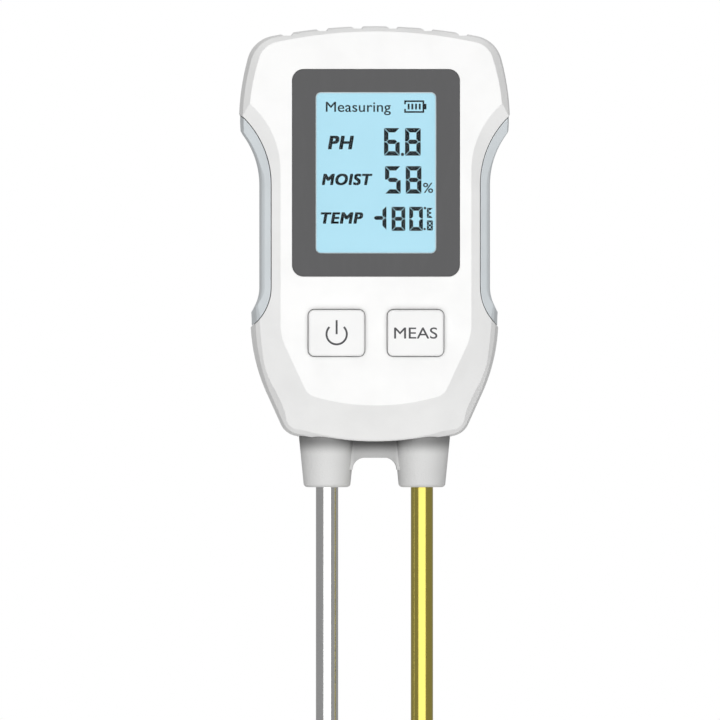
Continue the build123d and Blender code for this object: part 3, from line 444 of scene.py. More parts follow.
def evaluated_mesh(maker):
    """The plain mesh of an object with live modifiers or a font, which is then removed."""
    bpy.context.view_layer.update()
    depsgraph = bpy.context.evaluated_depsgraph_get()
    mesh = bpy.data.meshes.new_from_object(maker.evaluated_get(depsgraph))
    bpy.data.objects.remove(maker)
    return mesh


def facing_front(x, depth, z):
    """Lays a flat drawing, read along X and Y, on the front at a depth in front of the seam."""
    turn = Matrix(((1, 0, 0, 0), (0, 0, -1, 0), (0, 1, 0, 0), (0, 0, 0, 1)))
    return Matrix.Translation((x, -depth, z)) @ turn


def prism(build, outline, thick=INK_THICK):
    """A flat shape with a thickness, from the points round its edge."""
    low = [build.verts.new((x, y, 0)) for x, y in outline]
    high = [build.verts.new((x, y, thick)) for x, y in outline]
    build.faces.new(list(reversed(low)))
    build.faces.new(high)
    for index in range(len(outline)):
        after = (index + 1) % len(outline)
        build.faces.new((low[index], low[after], high[after], high[index]))


def lathe(build, profile, steps):
    """A closed solid turned about the vertical axis from (radius, height) points."""
    rings = []
    for radius, height in profile:
        round_points = disc_outline(radius, 0, 0, steps) if radius else [(0, 0)]
        rings.append([build.verts.new((x, y, height)) for x, y in round_points])
    for below, above in zip(rings, rings[1:]):
        for step in range(steps):
            after = (step + 1) % steps
            corners = [below[step % len(below)], below[after % len(below)]]
            corners += [above[after % len(above)], above[step % len(above)]]
            build.faces.new(list(dict.fromkeys(corners)))


def shade_by_angle(mesh, degrees):
    """Smooth shading, kept sharp where faces turn by more than an angle."""
    mesh.polygons.foreach_set("use_smooth", [True] * len(mesh.polygons))
    mesh.set_sharp_from_angle(angle=math.radians(degrees))


def lettering(text, left, right, low, cap_height, slant, weight):
    """A word as a thin solid, from its ends and capital height in metres.

    The weight, in ems, makes it bold: the word is struck four times, a little apart, and joined.
    """
    font = bpy.data.curves.new("word", "FONT")
    font.body = text
    font.shear = slant
    font.extrude = FONT_DEPTH
    font.space_character = 1 + 3 * weight
    lift = 0.6 * weight
    strikes = []
    for across, up in ((-1, -1), (1, -1), (-1, 1), (1, 1)):
        build = bmesh.new()
        build.from_mesh(evaluated_mesh(linked("strike", font)))
        mesh = mesh_from(build, 0.0001)
        mesh.transform(Matrix.Translation((across * weight, up * lift, 0)))
        strikes.append(linked("strike", mesh))
    for strike in strikes[1:]:
        union = strikes[0].modifiers.new("bolder", "BOOLEAN")
        union.operation = "UNION"
        union.solver = "MANIFOLD"
        union.object = strike
    mesh = evaluated_mesh(strikes[0])
    for strike in strikes[1:]:
        bpy.data.objects.remove(strike)
    xs = [vertex.co.x for vertex in mesh.vertices]
    top = max(vertex.co.y for vertex in mesh.vertices)
    wide, high = (right - left) / (max(xs) - min(xs)), cap_height / (top + lift)
    start = min(xs)
    for vertex in mesh.vertices:
        vertex.co.x = left + (vertex.co.x - start) * wide
        vertex.co.y = low + (vertex.co.y + lift) * high
        vertex.co.z = INK_THICK * (0.5 + vertex.co.z / (2 * FONT_DEPTH))
    return mesh


# Lit bars of a seven-bar digit: a top, b and c right, d bottom, e and f left, g middle.
DIGIT_BARS = {"0": "abcdef", "1": "bc", "5": "acdfg", "6": "acdefg", "8": "abcdefg", "-": "g", "E": "adefg"}


def bar_digit(build, sign, left, low, width, height, stroke):
    """One seven-bar digit, its bars mitred and set apart by a hairline."""
    half, gap = stroke / 2, stroke * 0.08
    right, top, mid = left + width, low + height, low + height / 2
    lid = [(left + gap, top), (right - gap, top), (right - gap - stroke, top - stroke)]
    lid.append((left + gap + stroke, top - stroke))
    post = [(left, top - gap), (left, mid + gap), (left + half, mid + gap)]
    post += [(left + stroke, mid + half + gap), (left + stroke, top - gap - stroke)]
    middle = [(left + gap + half, mid), (left + gap + stroke, mid + half)]
    middle += [(right - gap - stroke, mid + half), (right - gap - half, mid)]
    middle += [(right - gap - stroke, mid - half), (left + gap + stroke, mid - half)]
    # Each bar: the shape it is cut from, and whether that is turned over in x and in z.
    bars = {
        "a": (lid, False, False), "d": (lid, False, True), "g": (middle, False, False),
        "f": (post, False, False), "e": (post, False, True),
        "b": (post, True, False), "c": (post, True, True),
    }
    for bar in DIGIT_BARS[sign]:
        shape, over_x, over_z = bars[bar]
        shape = [(left + right - x if over_x else x, low + top - z if over_z else z) for x, z in shape]
        prism(build, shape)


def disc_outline(radius, x, y, steps=24):
    """Points round a circle."""
    turns = [math.tau * step / steps for step in range(steps)]
    return [(x + radius * math.cos(turn), y + radius * math.sin(turn)) for turn in turns]


def rounded_outline(half_width, half_height, radius, steps=6):
    """Points round a rectangle with round corners, about its centre."""
    points = []
    for corner, (side, up) in enumerate(((1, 1), (-1, 1), (-1, -1), (1, -1))):
        for step in range(steps + 1):
            turn = (corner + step / steps) * math.pi / 2
            x = side * (half_width - radius) + radius * math.cos(turn)
            points.append((x, up * (half_height - radius) + radius * math.sin(turn)))
    return points


def ring_prism(build, outer, inner):
    """A flat printed frame, between two outlines of as many points."""
    heights = (0, INK_THICK)
    loops = [[build.verts.new((x, y, z)) for x, y in loop] for loop in (outer, inner) for z in heights]
    low_out, high_out, low_in, high_in = loops
    section = (low_out, high_out, high_in, low_in)
    for index in range(len(outer)):
        after = (index + 1) % len(outer)
        for first, second in zip(section, section[1:] + section[:1]):
            build.faces.new((first[index], first[after], second[after], second[index]))


def box_outline(left, right, low, high):
    """Points round a rectangle."""
    return [(left, low), (right, low), (right, high), (left, high)]


# ---------------------------------------------------------------- geometry node trees
def node_tree(name, inputs):
    """A geometry tree with named inputs and one geometry output."""
    tree = bpy.data.node_groups.new(name, "GeometryNodeTree")
    tree.interface.new_socket("Geometry", in_out="INPUT", socket_type="NodeSocketGeometry")
    for label, kind, value in inputs:
        socket = tree.interface.new_socket(label, in_out="INPUT", socket_type=kind)
        if value is not None:
            socket.default_value = value
    tree.interface.new_socket("Geometry", in_out="OUTPUT", socket_type="NodeSocketGeometry")
    return tree


def tree_node(tree, kind, values=None, **settings):
    """A node in a geometry tree, its settings first, then its sockets' values or links."""
    node = tree.nodes.new(kind)
    for key, value in settings.items():
        setattr(node, key, value)
    for key, value in (values or {}).items():
        if isinstance(value, bpy.types.NodeSocket):
            tree.links.new(value, node.inputs[key])
        else:
            node.inputs[key].default_value = value
    return node


def finish_tree(tree, names, geometry):
    """End a tree in Realize Instances and Set Material."""
    real = tree_node(tree, "GeometryNodeRealizeInstances", {0: geometry})
    painted = tree_node(tree, "GeometryNodeSetMaterial", {
        "Geometry": real.outputs[0],
        "Material": names["Material"],
    })
    output = tree.nodes.new("NodeGroupOutput")
    tree.links.new(painted.outputs[0], output.inputs[0])


def coil_tree():
    """A spring wound along Z, wider at its foot, with a round wire."""
    inputs = (
        ("Foot Radius", "NodeSocketFloat", 0.003),
        ("Top Radius", "NodeSocketFloat", 0.002),
        ("Turns", "NodeSocketFloat", 4.0),
        ("Length", "NodeSocketFloat", 0.004),
        ("Wire", "NodeSocketFloat", 0.0003),
        ("Place", "NodeSocketVector", None),
        ("Tilt", "NodeSocketVector", None),
        ("Material", "NodeSocketMaterial", None),
    )
    tree = node_tree("spring_coil", inputs)
    names = tree.nodes.new("NodeGroupInput").outputs
    spiral = tree_node(tree, "GeometryNodeCurveSpiral", {
        "Resolution": 32,
        "Rotations": names["Turns"],
        "Start Radius": names["Foot Radius"],
        "End Radius": names["Top Radius"],
        "Height": names["Length"],
    })
    section = tree_node(tree, "GeometryNodeCurvePrimitiveCircle", {
        "Resolution": 10,
        "Radius": names["Wire"],
    })
    wire = tree_node(tree, "GeometryNodeCurveToMesh", {
        "Curve": spiral.outputs[0],
        "Profile Curve": section.outputs[0],
        "Fill Caps": True,
    })
    moved = tree_node(tree, "GeometryNodeTransform", {
        "Geometry": wire.outputs[0],
        "Translation": names["Place"],
        "Rotation": names["Tilt"],
    })
    finish_tree(tree, names, moved.outputs[0])
    return tree


def row_tree():
    """Equal bars in a row along X, in the gauge of the battery sign."""
    inputs = (
        ("Count", "NodeSocketInt", 4),
        ("Bar", "NodeSocketVector", None),
        ("Pitch", "NodeSocketFloat", 0.001),
        ("Start", "NodeSocketVector", None),
        ("Material", "NodeSocketMaterial", None),
    )
    tree = node_tree("bar_row", inputs)
    names = tree.nodes.new("NodeGroupInput").outputs
    step = tree_node(tree, "ShaderNodeCombineXYZ", {"X": names["Pitch"]})
    line = tree_node(tree, "GeometryNodeMeshLine", {
        "Count": names["Count"],
        "Start Location": names["Start"],
        "Offset": step.outputs[0],
    }, mode="OFFSET")
    bar = tree_node(tree, "GeometryNodeMeshCube", {"Size": names["Bar"]})
    bars = tree_node(tree, "GeometryNodeInstanceOnPoints", {
        "Points": line.outputs[0],
        "Instance": bar.outputs[0],
    })
    finish_tree(tree, names, bars.outputs[0])
    return tree


def grown_mesh(tree, values):
    """The plain mesh that a tree grows, with its inputs set by name."""
    maker = linked("maker", bpy.data.meshes.new("seed"))
    modifier = maker.modifiers.new("grow", "NODES")
    modifier.node_group = tree
    for item in tree.interface.items_tree:
        if item.in_out == "INPUT" and item.name in values:
            modifier[item.identifier] = values[item.name]
    return evaluated_mesh(maker)


# ---------------------------------------------------------------- settings
class MeterFinishes(bpy.types.PropertyGroup):
    """Colours and gloss of the meter's own surfaces."""

    shell_colour: bpy.props.FloatVectorProperty(
        name="Shell", description="White plastic of the covers, the door and the keys",
        default=(0.86, 0.86, 0.855), min=0, max=1, subtype="COLOR")
    grip_colour: bpy.props.FloatVectorProperty(
        name="Grips", description="Cool grey of the inlays at the sides",
        default=(0.68, 0.725, 0.75), min=0, max=1, subtype="COLOR")
    # Darker than the shell: the collars' grey-white plastic, deepened as painted shade under the head.
    collar_colour: bpy.props.FloatVectorProperty(
        name="Collars", description="Grey plastic round the tops of the probes",
        default=(0.64, 0.64, 0.635), min=0, max=1, subtype="COLOR")
    border_colour: bpy.props.FloatVectorProperty(
        name="Screen border", description="Grey sheet round the display",
        default=(0.088, 0.088, 0.09), min=0, max=1, subtype="COLOR")
    steel_colour: bpy.props.FloatVectorProperty(
        name="Steel probe", description="Polished steel",
        default=(0.78, 0.78, 0.775), min=0, max=1, subtype="COLOR")
    brass_colour: bpy.props.FloatVectorProperty(
        name="Brass probe", description="Polished brass",
        default=(0.61, 0.515, 0.125), min=0, max=1, subtype="COLOR")
    probe_roughness: bpy.props.FloatProperty(
        name="Probe roughness", description="Roughness of the polished probes",
        default=0.16, min=0, max=1, subtype="FACTOR")
    edge_radius: bpy.props.FloatProperty(
        name="Edge radius", description="How far the light rounds the moulded edges",
        default=0.25 * MM, min=0, unit="LENGTH", subtype="DISTANCE")


class DisplayLayout(bpy.types.PropertyGroup):
    """Colours and sizes of what the display shows."""

    glow_colour: bpy.props.FloatVectorProperty(
        name="Backlight", description="Colour of the lit display",
        default=(0.425, 0.73, 0.86), min=0, max=1, subtype="COLOR")
    glow: bpy.props.FloatProperty(
        name="Backlight strength", description="How brightly the display is lit",
        default=1.0, min=0)
    ink_colour: bpy.props.FloatVectorProperty(
        name="Segments", description="Colour of a switched-on segment",
        default=(0.012, 0.02, 0.024), min=0, max=1, subtype="COLOR")
    digit_height: bpy.props.FloatProperty(
        name="Digit height", description="Height of the two upper readings",
        default=6.17 * MM, min=0, unit="LENGTH", subtype="DISTANCE")
    digit_width: bpy.props.FloatProperty(
        name="Digit width", description="Width of one upper digit",
        default=3.52 * MM, min=0, unit="LENGTH", subtype="DISTANCE")
    stroke: bpy.props.FloatProperty(
        name="Stroke", description="Thickness of a digit's bars",
        default=0.97 * MM, min=0, unit="LENGTH", subtype="DISTANCE")
    word_height: bpy.props.FloatProperty(
        name="Label height", description="Capital height of the reading's names",
        default=2.56 * MM, min=0, unit="LENGTH", subtype="DISTANCE")
    # The pale line round the display is a painted highlight along the border's opening.
    outline: bpy.props.FloatProperty(
        name="Outline", description="Width of the pale line round the display",
        default=0.22 * MM, min=0, unit="LENGTH", subtype="DISTANCE")
    gauge_bars: bpy.props.IntProperty(
        name="Gauge bars", description="Bars in the battery sign", default=4, min=1, max=6)


class KeyLegends(bpy.types.PropertyGroup):
    """Sizes of the printed key legends."""

    legend_colour: bpy.props.FloatVectorProperty(
        name="Legends", description="Colour of the printing on the keys",
        default=(0.075, 0.075, 0.08), min=0, max=1, subtype="COLOR")
    ring_radius: bpy.props.FloatProperty(
        name="Power ring", description="Outer radius of the power sign",
        default=2.5 * MM, min=0, unit="LENGTH", subtype="DISTANCE")
    line_width: bpy.props.FloatProperty(
        name="Line", description="Line width of the power sign",
        default=0.44 * MM, min=0, unit="LENGTH", subtype="DISTANCE")
    ring_gap: bpy.props.FloatProperty(
        name="Ring gap", description="Half of the opening at the top of the ring",
        default=math.radians(45), min=0, unit="ROTATION", subtype="ANGLE")
    word_width: bpy.props.FloatProperty(
        name="Word width", description="Width of the word on the measuring key",
        default=9.7 * MM, min=0, unit="LENGTH", subtype="DISTANCE")
    word_height: bpy.props.FloatProperty(
        name="Word height", description="Capital height of that word",
        default=2.5 * MM, min=0, unit="LENGTH", subtype="DISTANCE")


class CellSprings(bpy.types.PropertyGroup):
    """Sizes of the battery springs."""

    wire: bpy.props.FloatProperty(
        name="Wire", description="Radius of the spring wire",
        default=0.33 * MM, min=0, unit="LENGTH", subtype="DISTANCE")
    radius: bpy.props.FloatProperty(
        name="Radius", description="Radius of a spring's wide end, to the middle of its wire",
        default=3.0 * MM, min=0, unit="LENGTH", subtype="DISTANCE")
    turns: bpy.props.FloatProperty(
        name="Turns", description="Turns of each spring", default=4.0, min=1)
    taper: bpy.props.FloatProperty(
        name="Taper", description="Small end's radius over the large end's",
        default=0.62, min=0, max=1, subtype="FACTOR")


class Studio(bpy.types.PropertyGroup):
    """The floor, the lights and the camera."""

    floor_radius: bpy.props.FloatProperty(
        name="Floor", description="Radius of the pale floor",
        default=0.7, min=0, unit="LENGTH", subtype="DISTANCE")
    key_power: bpy.props.FloatProperty(
        name="Front light", description="Power of the large front light",
        default=12.3, min=0, unit="POWER")
    top_power: bpy.props.FloatProperty(
        name="Top light", description="Power of the light above",
        default=3.4, min=0, unit="POWER")
    back_power: bpy.props.FloatProperty(
        name="Back light", description="Power of the light behind",
        default=10.2, min=0, unit="POWER")
    ambient: bpy.props.FloatProperty(
        name="Ambient", description="Light from all round on dull surfaces", default=0.40, min=0)
    surround: bpy.props.FloatProperty(
        name="Surround", description="Grey that polished surfaces mirror", default=0.30, min=0)
    turn: bpy.props.FloatProperty(
        name="Turn", description="Camera's angle round the meter",
        default=math.radians(-1.4), unit="ROTATION", subtype="ANGLE")
    distance: bpy.props.FloatProperty(
        name="Distance", description="Camera to meter",
        default=5.0, min=0, unit="LENGTH", subtype="DISTANCE")
    field: bpy.props.FloatProperty(
        name="Field", description="Width seen at the meter",
        default=0.162, min=0, unit="LENGTH", subtype="DISTANCE")


SETTINGS = {
    "soil_finishes": MeterFinishes,
    "soil_display": DisplayLayout,
    "soil_legends": KeyLegends,
    "soil_springs": CellSprings,
    "soil_studio": Studio,
}


# ---------------------------------------------------------------- operators
class SOIL_OT_case(bpy.types.Operator):
    """Finish the covers, grips, keys and screen border"""

    bl_idname = "soil.case"
    bl_label = "Case"

    def execute(self, context):
        looks = context.scene.soil_finishes
        white, grey = tuple(looks.shell_colour), tuple(looks.collar_colour)
        # Painted shade in the shell's corners, round and under the keys.
        shell = moulded("shell_white", white, 0.42, edge=looks.edge_radius, corner_shade=0.5, reach=1.6 * MM)
        give(shell, "front_cover", "rear_cover", "battery_door")
        key = moulded("key_white", scaled(white, 0.95), 0.36, edge=0.4 * MM, depth=0.003 * MM)
        give(key, "power_button", "measure_button", "power_plunger", "measure_plunger")
        give(satin_grip("grip_grey", tuple(looks.grip_colour)), "left_grip", "right_grip")
        give(display_black("bezel_grey", tuple(looks.border_colour)), "display_bezel")
        give(clear_pane("window_clear"), "display_window")
        # The collars carry painted shade in their corners and recess, a painted shadow under the head and a
        # painted highlight on their edges.
        collar = moulded(
            "collar_grey", grey, 0.5,
            grain=0.42 * MM, depth=0.08 * MM, edge=0.35 * MM, edge_highlight=0.3, corner_shade=0.85, reach=5 * MM,
            shade_from=(7.2 * MM, 10.6 * MM), recess_shade_from=(5.8 * MM, 4.3 * MM))
        give(collar, "probe_holder")
        return {"FINISHED"}


class SOIL_OT_probes(bpy.types.Operator):
    """Finish the probes and the fittings that hold them"""

    bl_idname = "soil.probes"
    bl_label = "Probes"

    def execute(self, context):
        looks = context.scene.soil_finishes
        steel, brass = tuple(looks.steel_colour), tuple(looks.brass_colour)
        give(drawn_metal("probe_steel", steel, (0.62, 0.61, 0.60), looks.probe_roughness), "silver_probe")
        give(drawn_metal("probe_brass", brass, (0.52, 0.43, 0.11), looks.probe_roughness), "brass_probe")
        zinc = plated_metal("screw_zinc", (0.74, 0.75, 0.76), 0.3)
        give(zinc, "probe_nuts", "case_screws", "board_screws")
        plated = plated_metal("plated_steel", (0.82, 0.81, 0.78), 0.2)
        give(plated, "ring_terminals", "battery_bridge", "positive_contact", "negative_contact")
        give(soft_rubber("seal_black", (0.02, 0.02, 0.021)), "probe_seals")
        give(soft_rubber("bead_epoxy", (0.08, 0.06, 0.05), 0.35), "thermistor")
        return {"FINISHED"}


class SOIL_OT_inside(bpy.types.Operator):
    """Finish the circuit board, its parts and the wires"""

    bl_idname = "soil.inside"
    bl_label = "Inside"

    def execute(self, context):
        give(circuit_board("board_green"), "main_board")
        give(moulded("chip_black", (0.02, 0.02, 0.022), 0.55, edge=0.1 * MM), "microcontroller")
        switch = moulded("switch_black", (0.025, 0.025, 0.027), 0.45, edge=0.1 * MM)
        give(switch, "power_switch", "measure_switch")
        give(moulded("component_tan", (0.45, 0.33, 0.2), 0.4, edge=0.08 * MM), "board_components")
        give(moulded("holder_white", (0.8, 0.8, 0.79), 0.5), "lcd_holder")
        give(moulded("led_body", (0.85, 0.82, 0.6), 0.3, edge=0.08 * MM), "backlight_led")
        give(soft_rubber("zebra_rubber", (0.35, 0.35, 0.36), 0.7), "zebra_strip")
        give(clear_pane("light_guide", (0.93, 0.97, 1.0), 0.25), "backlight_panel")
        give(clear_pane("lcd_glass", (0.86, 0.95, 0.93), 0.03), "lcd_rear_glass")
        give(soft_rubber("wire_red", (0.5, 0.02, 0.015), 0.4), "brass_probe_lead", "positive_lead")
        give(soft_rubber("wire_black", (0.018, 0.018, 0.02), 0.4), "thermistor_lead", "negative_lead")
        give(soft_rubber("wire_white", (0.78, 0.78, 0.76), 0.4), "silver_probe_lead")
        return {"FINISHED"}


class SOIL_OT_cells(bpy.types.Operator):
    """Finish the two battery cells and wind their springs"""

    bl_idname = "soil.cells"
    bl_label = "Cells and springs"

    def execute(self, context):
        springs = context.scene.soil_springs
        tree = coil_tree()
        material = plated_metal("spring_steel", (0.78, 0.77, 0.74), 0.18)
        coils = bmesh.new()
        spring_low, spring_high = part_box("battery_springs")
        # Each cell: the way from its nub to its flat end, and the place that its spring stands on.
        for name, direction, seat in (("battery_1", -1, spring_low.z), ("battery_2", 1, spring_high.z)):
            low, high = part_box(name)
            nub, flat_end = (high.z, low.z) if direction < 0 else (low.z, high.z)
            give(cell_sleeve(name + "_sleeve", nub, direction), name)
            length = abs(flat_end - seat) - 2 * springs.wire
            middle = (low + high) / 2
            coil = grown_mesh(tree, {
                "Foot Radius": springs.radius,
                "Top Radius": springs.radius * springs.taper,
                "Turns": springs.turns,
                "Length": length,
                "Wire": springs.wire,
                "Place": (middle.x, middle.y, seat - direction * springs.wire),
                "Tilt": (0.0 if direction < 0 else math.pi, 0, 0),
                "Material": material,
            })
            coils.from_mesh(coil)
        mesh = mesh_from(coils)
        shade_by_angle(mesh, 60)
        new_piece("cell_springs", mesh, material, CASE, ("battery_springs",))
        return {"FINISHED"}


class SOIL_OT_display(bpy.types.Operator):
    """Light the display and switch on its words, digits and battery sign"""

    bl_idname = "soil.display"
    bl_label = "Display"

    def execute(self, context):
        layout = context.scene.soil_display
        give(backlit_lcd("lcd_blue", tuple(layout.glow_colour), layout.glow), "lcd_front_glass")
        ink = printed_ink("display_segments", tuple(layout.ink_colour))
        border_low, border_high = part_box("display_bezel")
        middle = (border_low.z + border_high.z) / 2
        place = facing_front(0, -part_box("lcd_front_glass")[0].y, middle)

        plain, bold = (0.0, 0.008), (0.17, 0.045)
        # Words: text, left, right, foot and capital height, from the display's middle; slant and weight.
        words = (
            ("Measuring", -11.2 * MM, 3.4 * MM, 13.72 * MM, 2.25 * MM, plain),
            ("PH", -10.73 * MM, -4.88 * MM, 5.3 * MM, 3.05 * MM, bold),
            ("MOIST", -12.08 * MM, -0.74 * MM, -2.73 * MM, layout.word_height, bold),
            ("TEMP", -12.35 * MM, -2.81 * MM, -11.4 * MM, layout.word_height, bold),
            ("%", 10.65 * MM, 12.9 * MM, -4.45 * MM, 2.25 * MM, plain),
        )
        build = bmesh.new()
        for text, left, right, low, height, style in words:
            build.from_mesh(lettering(text, left, right, low, height, *style))
        self.show("display_words", build, place, ink)

        # Sizes of a digit: width, height and stroke. Digits: sign, left, foot and size.
        wide, high, stroke = layout.digit_width, layout.digit_height, layout.stroke
        lower_high, lower_stroke = 0.875 * high, 0.9 * stroke
        upper = (wide, high, stroke)
        lower = (0.87 * wide, lower_high, lower_stroke)
        small = (0.38 * wide, 0.365 * high, 0.5 * stroke)
        digits = (
            ("6", 1.87, 3.9, upper), ("8", 6.59, 3.9, upper),
            ("5", 2.09, -4.65, upper), ("8", 6.75, -4.65, upper),
            ("-", -0.95, -12.8, (3.3 * MM, lower_high, lower_stroke)),
            ("1", 1.4, -12.8, (MM, lower_high, lower_stroke)),
            ("8", 3.58, -13.0, lower), ("0", 7.54, -13.0, lower),
            ("E", 11.5, -10.1, small), ("8", 11.5, -12.9, small),
        )
        build = bmesh.new()
        for sign, left, low, size in digits:
            bar_digit(build, sign, left * MM, low * MM, *size)
        points = ((0.36, 6.03, 4.17), (0.28, 11.07, -7.9), (0.26, 11.0, -12.6))
        for dot in points:
            prism(build, disc_outline(*(value * MM for value in dot)))
        self.show("display_digits", build, place, ink)
        self.battery_sign(layout, place, ink)

        # The display's pale line, a painted highlight along the border's opening, on the window just inside
        # it.
        build = bmesh.new()
        half_wide, half_high, radius = 13.55 * MM, 18.1 * MM, 1.2 * MM
        rim = layout.outline
        outer = rounded_outline(half_wide, half_high, radius)
        inner = rounded_outline(half_wide - rim, half_high - rim, radius - rim)
        ring_prism(build, outer, inner)
        mesh = mesh_from(build)
        mesh.transform(facing_front(0, -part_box("display_window")[0].y, middle))
        # Painted highlight: pale ink where light catches the edge of the border's opening.
        pale = printed_ink("edge_highlight_grey", (0.66, 0.78, 0.82))
        new_piece("display_edge_highlight", mesh, pale, CASE)
        return {"FINISHED"}

    def show(self, name, build, place, ink):
        """Lay a flat drawing on the front of the display glass."""
        mesh = mesh_from(build)
        mesh.transform(place)
        new_piece(name, mesh, ink, CASE)

    def battery_sign(self, layout, place, ink):
        """A battery outline, open at its left, with its terminal at the right and a row of bars inside."""
        left, right, low, high = (value * MM for value in (6.4, 10.9, 13.5, 16.3))
        line, arm, terminal = 0.38 * MM, 0.5 * MM, 1.25 * MM
        middle = (low + high) / 2
        left_in, right_in, low_in, high_in = left + line, right - line, low + line, high - line
        case_points = [(left, high), (right, high), (right, low), (left, low), (left, low_in + arm)]
        case_points += [(left_in, low_in + arm), (left_in, low_in), (right_in, low_in), (right_in, high_in)]
        case_points += [(left_in, high_in), (left_in, high_in - arm), (left, high_in - arm)]
        build = bmesh.new()
        prism(build, case_points)
        tip = right + 1.3 * line
        prism(build, box_outline(right, tip, middle - terminal / 2, middle + terminal / 2))
        pitch = (right - left - 2 * line) / (layout.gauge_bars + 0.5)
        bars = grown_mesh(row_tree(), {
            "Count": layout.gauge_bars,
            "Bar": (pitch * 0.52, high - low - 4 * line, INK_THICK),
            "Pitch": pitch,
            "Start": (left_in + 0.75 * pitch, middle, INK_THICK / 2),
            "Material": ink,
        })
        build.from_mesh(bars)
        self.show("battery_sign", build, place, ink)


class SOIL_OT_legends(bpy.types.Operator):
    """Print the power sign and the word on the keys"""

    bl_idname = "soil.legends"
    bl_label = "Key legends"

    def execute(self, context):
        legends = context.scene.soil_legends
        ink = printed_ink("legend_ink", tuple(legends.legend_colour), 0.45)
        radius, line = legends.ring_radius, legends.line_width
        build = bmesh.new()
        steps = 48
        opening = legends.ring_gap
        turns = [opening + (math.tau - 2 * opening) * step / steps for step in range(steps + 1)]
        outer = [(radius * math.sin(turn), radius * math.cos(turn)) for turn in turns]
        inside = radius - line
        inner = [(inside * math.sin(turn), inside * math.cos(turn)) for turn in reversed(turns)]
        prism(build, outer + inner)
        prism(build, box_outline(-line / 2, line / 2, 0, 1.26 * radius))
        self.print_on("power_button", "power_legend", mesh_from(build), ink, POWER_KEY, 0.27 * MM)

        half = legends.word_width / 2
        height = legends.word_height
        word = lettering("MEAS", -half, half, -height / 2, height, slant=0.0, weight=0.004)
        self.print_on("measure_button", "measure_legend", word, ink, MEASURE_KEY)
        return {"FINISHED"}

    def print_on(self, button, name, mesh, ink, body, drop=0.0):
        """Lay a flat drawing on the middle of a key, or a little below it."""
        low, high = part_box(button)
        mesh.transform(facing_front((low.x + high.x) / 2, -low.y, (low.z + high.z) / 2 - drop))
        new_piece(name, mesh, ink, body)


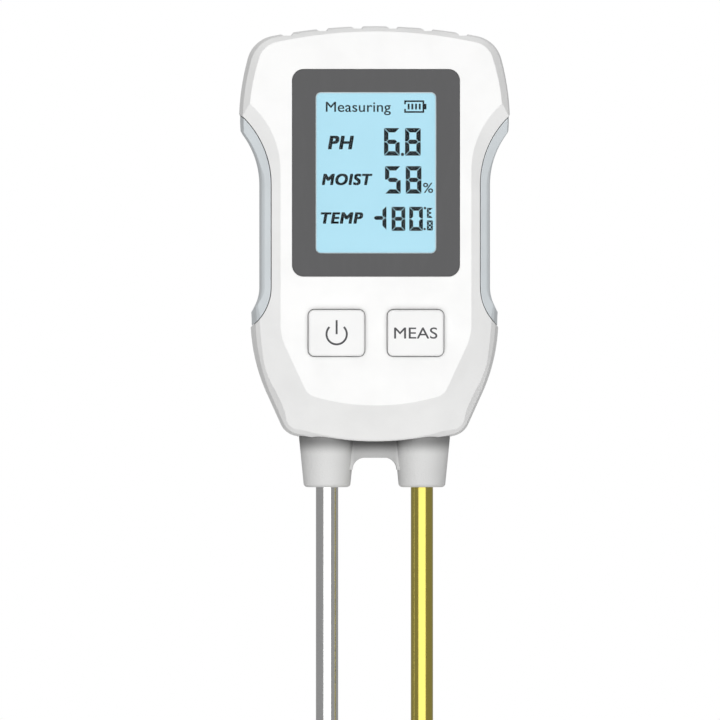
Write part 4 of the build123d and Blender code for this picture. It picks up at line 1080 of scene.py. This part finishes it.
class SOIL_OT_studio(bpy.types.Operator):
    """Lay the floor, hang the lights and set up the camera"""

    bl_idname = "soil.studio"
    bl_label = "Studio"

    def execute(self, context):
        studio = context.scene.soil_studio
        top, foot = CAD_BOX[0].z, CAD_BOX[0].z - 4 * MM
        edge = studio.floor_radius
        build = bmesh.new()
        lathe(build, ((0, foot), (edge, foot), (edge, top), (0, top)), 96)
        floor = linked("floor", mesh_from(build))
        floor.data.materials.append(paper_floor("studio_paper", (0.86, 0.86, 0.86)))
        floor.visible_diffuse = False
        floor.visible_shadow = False

        lifted = math.radians(106)
        self.lamp("front_light", (0.0, -1.0, -0.22), (1.6, 1.5), (lifted, 0, 0), studio.key_power)
        self.lamp("top_light", (-0.3, -0.25, 1.1), (0.9, 0.9), (0.2, -0.26, 0), studio.top_power)
        back = self.lamp("back_fill", (0.5, 1.5, 0.9), (1.2, 1.2), (-1.05, 0, 0.32), studio.back_power)
        back.visible_glossy = False

        self.surround(context.scene, studio)
        context.scene.view_settings.view_transform = "Standard"
        aim = Vector((-3.26 * MM, 0, 28.6 * MM))
        back_off = Vector((math.sin(studio.turn), -math.cos(studio.turn), 0)) * studio.distance
        camera_data = bpy.data.cameras.new("camera")
        camera_data.lens = camera_data.sensor_width * studio.distance / studio.field
        camera_data.clip_end = 20
        camera = linked("camera", camera_data)
        camera.location = aim + back_off
        camera.rotation_euler = (-back_off).to_track_quat("-Z", "Y").to_euler()
        context.scene.camera = camera
        return {"FINISHED"}

    def lamp(self, name, place, size, turn, power):
        """A soft rectangular light, turned from facing straight down, that isn't seen itself."""
        light = bpy.data.lights.new(name, "AREA")
        light.shape = "RECTANGLE"
        light.size, light.size_y = size
        light.energy = power
        lamp = linked(name, light)
        lamp.location = place
        lamp.rotation_euler = turn
        lamp.visible_camera = False
        return lamp

    def surround(self, scene, studio):
        """White behind the meter, a grey in what it mirrors, and soft light that is weaker from below."""
        world = bpy.data.worlds.new("studio")
        world.use_nodes = True
        tree = world.node_tree
        tree.nodes.clear()
        path = tree.nodes.new("ShaderNodeLightPath")
        mirrored = tree_node(tree, "ShaderNodeMix", {
            0: path.outputs["Is Glossy Ray"], 2: studio.ambient, 3: studio.surround,
        })
        place = tree.nodes.new("ShaderNodeTexCoord")
        height = tree_node(tree, "ShaderNodeSeparateXYZ", {0: place.outputs["Generated"]})
        below, level = (-1.0, 0.1), (-0.55, 1.1)
        slope = tree_node(tree, "ShaderNodeMapRange", {
            "Value": height.outputs["Z"], "From Min": below[0], "From Max": level[0],
            "To Min": below[1], "To Max": level[1],
        })
        sloped = tree_node(tree, "ShaderNodeMath", {
            0: slope.outputs[0], 1: mirrored.outputs[0],
        }, operation="MULTIPLY")
        seen = tree_node(tree, "ShaderNodeMix", {
            0: path.outputs["Is Camera Ray"], 2: sloped.outputs[0], 3: 1.0,
        })
        light = tree_node(tree, "ShaderNodeBackground", {"Strength": seen.outputs[0]})
        light.inputs["Color"].default_value = (1, 1, 1, 1)
        output = tree.nodes.new("ShaderNodeOutputWorld")
        tree.links.new(light.outputs[0], output.inputs[0])
        scene.world = world


OPERATORS = (
    SOIL_OT_case,
    SOIL_OT_probes,
    SOIL_OT_inside,
    SOIL_OT_cells,
    SOIL_OT_display,
    SOIL_OT_legends,
    SOIL_OT_studio,
)


class SOIL_PT_panel(bpy.types.Panel):
    """Lists the finishing steps and their settings"""

    bl_idname = "SOIL_PT_panel"
    bl_label = "Soil Meter"
    bl_space_type = "VIEW_3D"
    bl_region_type = "UI"
    bl_category = "Soil Meter"

    def draw(self, context):
        for operator in OPERATORS:
            self.layout.operator(operator.bl_idname)
        for name, group in SETTINGS.items():
            box = self.layout.box()
            for key in group.__annotations__:
                box.prop(getattr(context.scene, name), key)


def register():
    for entry in (*SETTINGS.values(), *OPERATORS, SOIL_PT_panel):
        bpy.utils.register_class(entry)
    for name, group in SETTINGS.items():
        setattr(bpy.types.Scene, name, bpy.props.PointerProperty(type=group))


def unregister():
    for name in SETTINGS:
        delattr(bpy.types.Scene, name)
    for entry in reversed((*SETTINGS.values(), *OPERATORS, SOIL_PT_panel)):
        bpy.utils.unregister_class(entry)


def main():
    register()
    for step in ("case", "probes", "inside", "cells", "display", "legends", "studio"):
        getattr(bpy.ops.soil, step)()


if __name__ == "__main__":
    main()
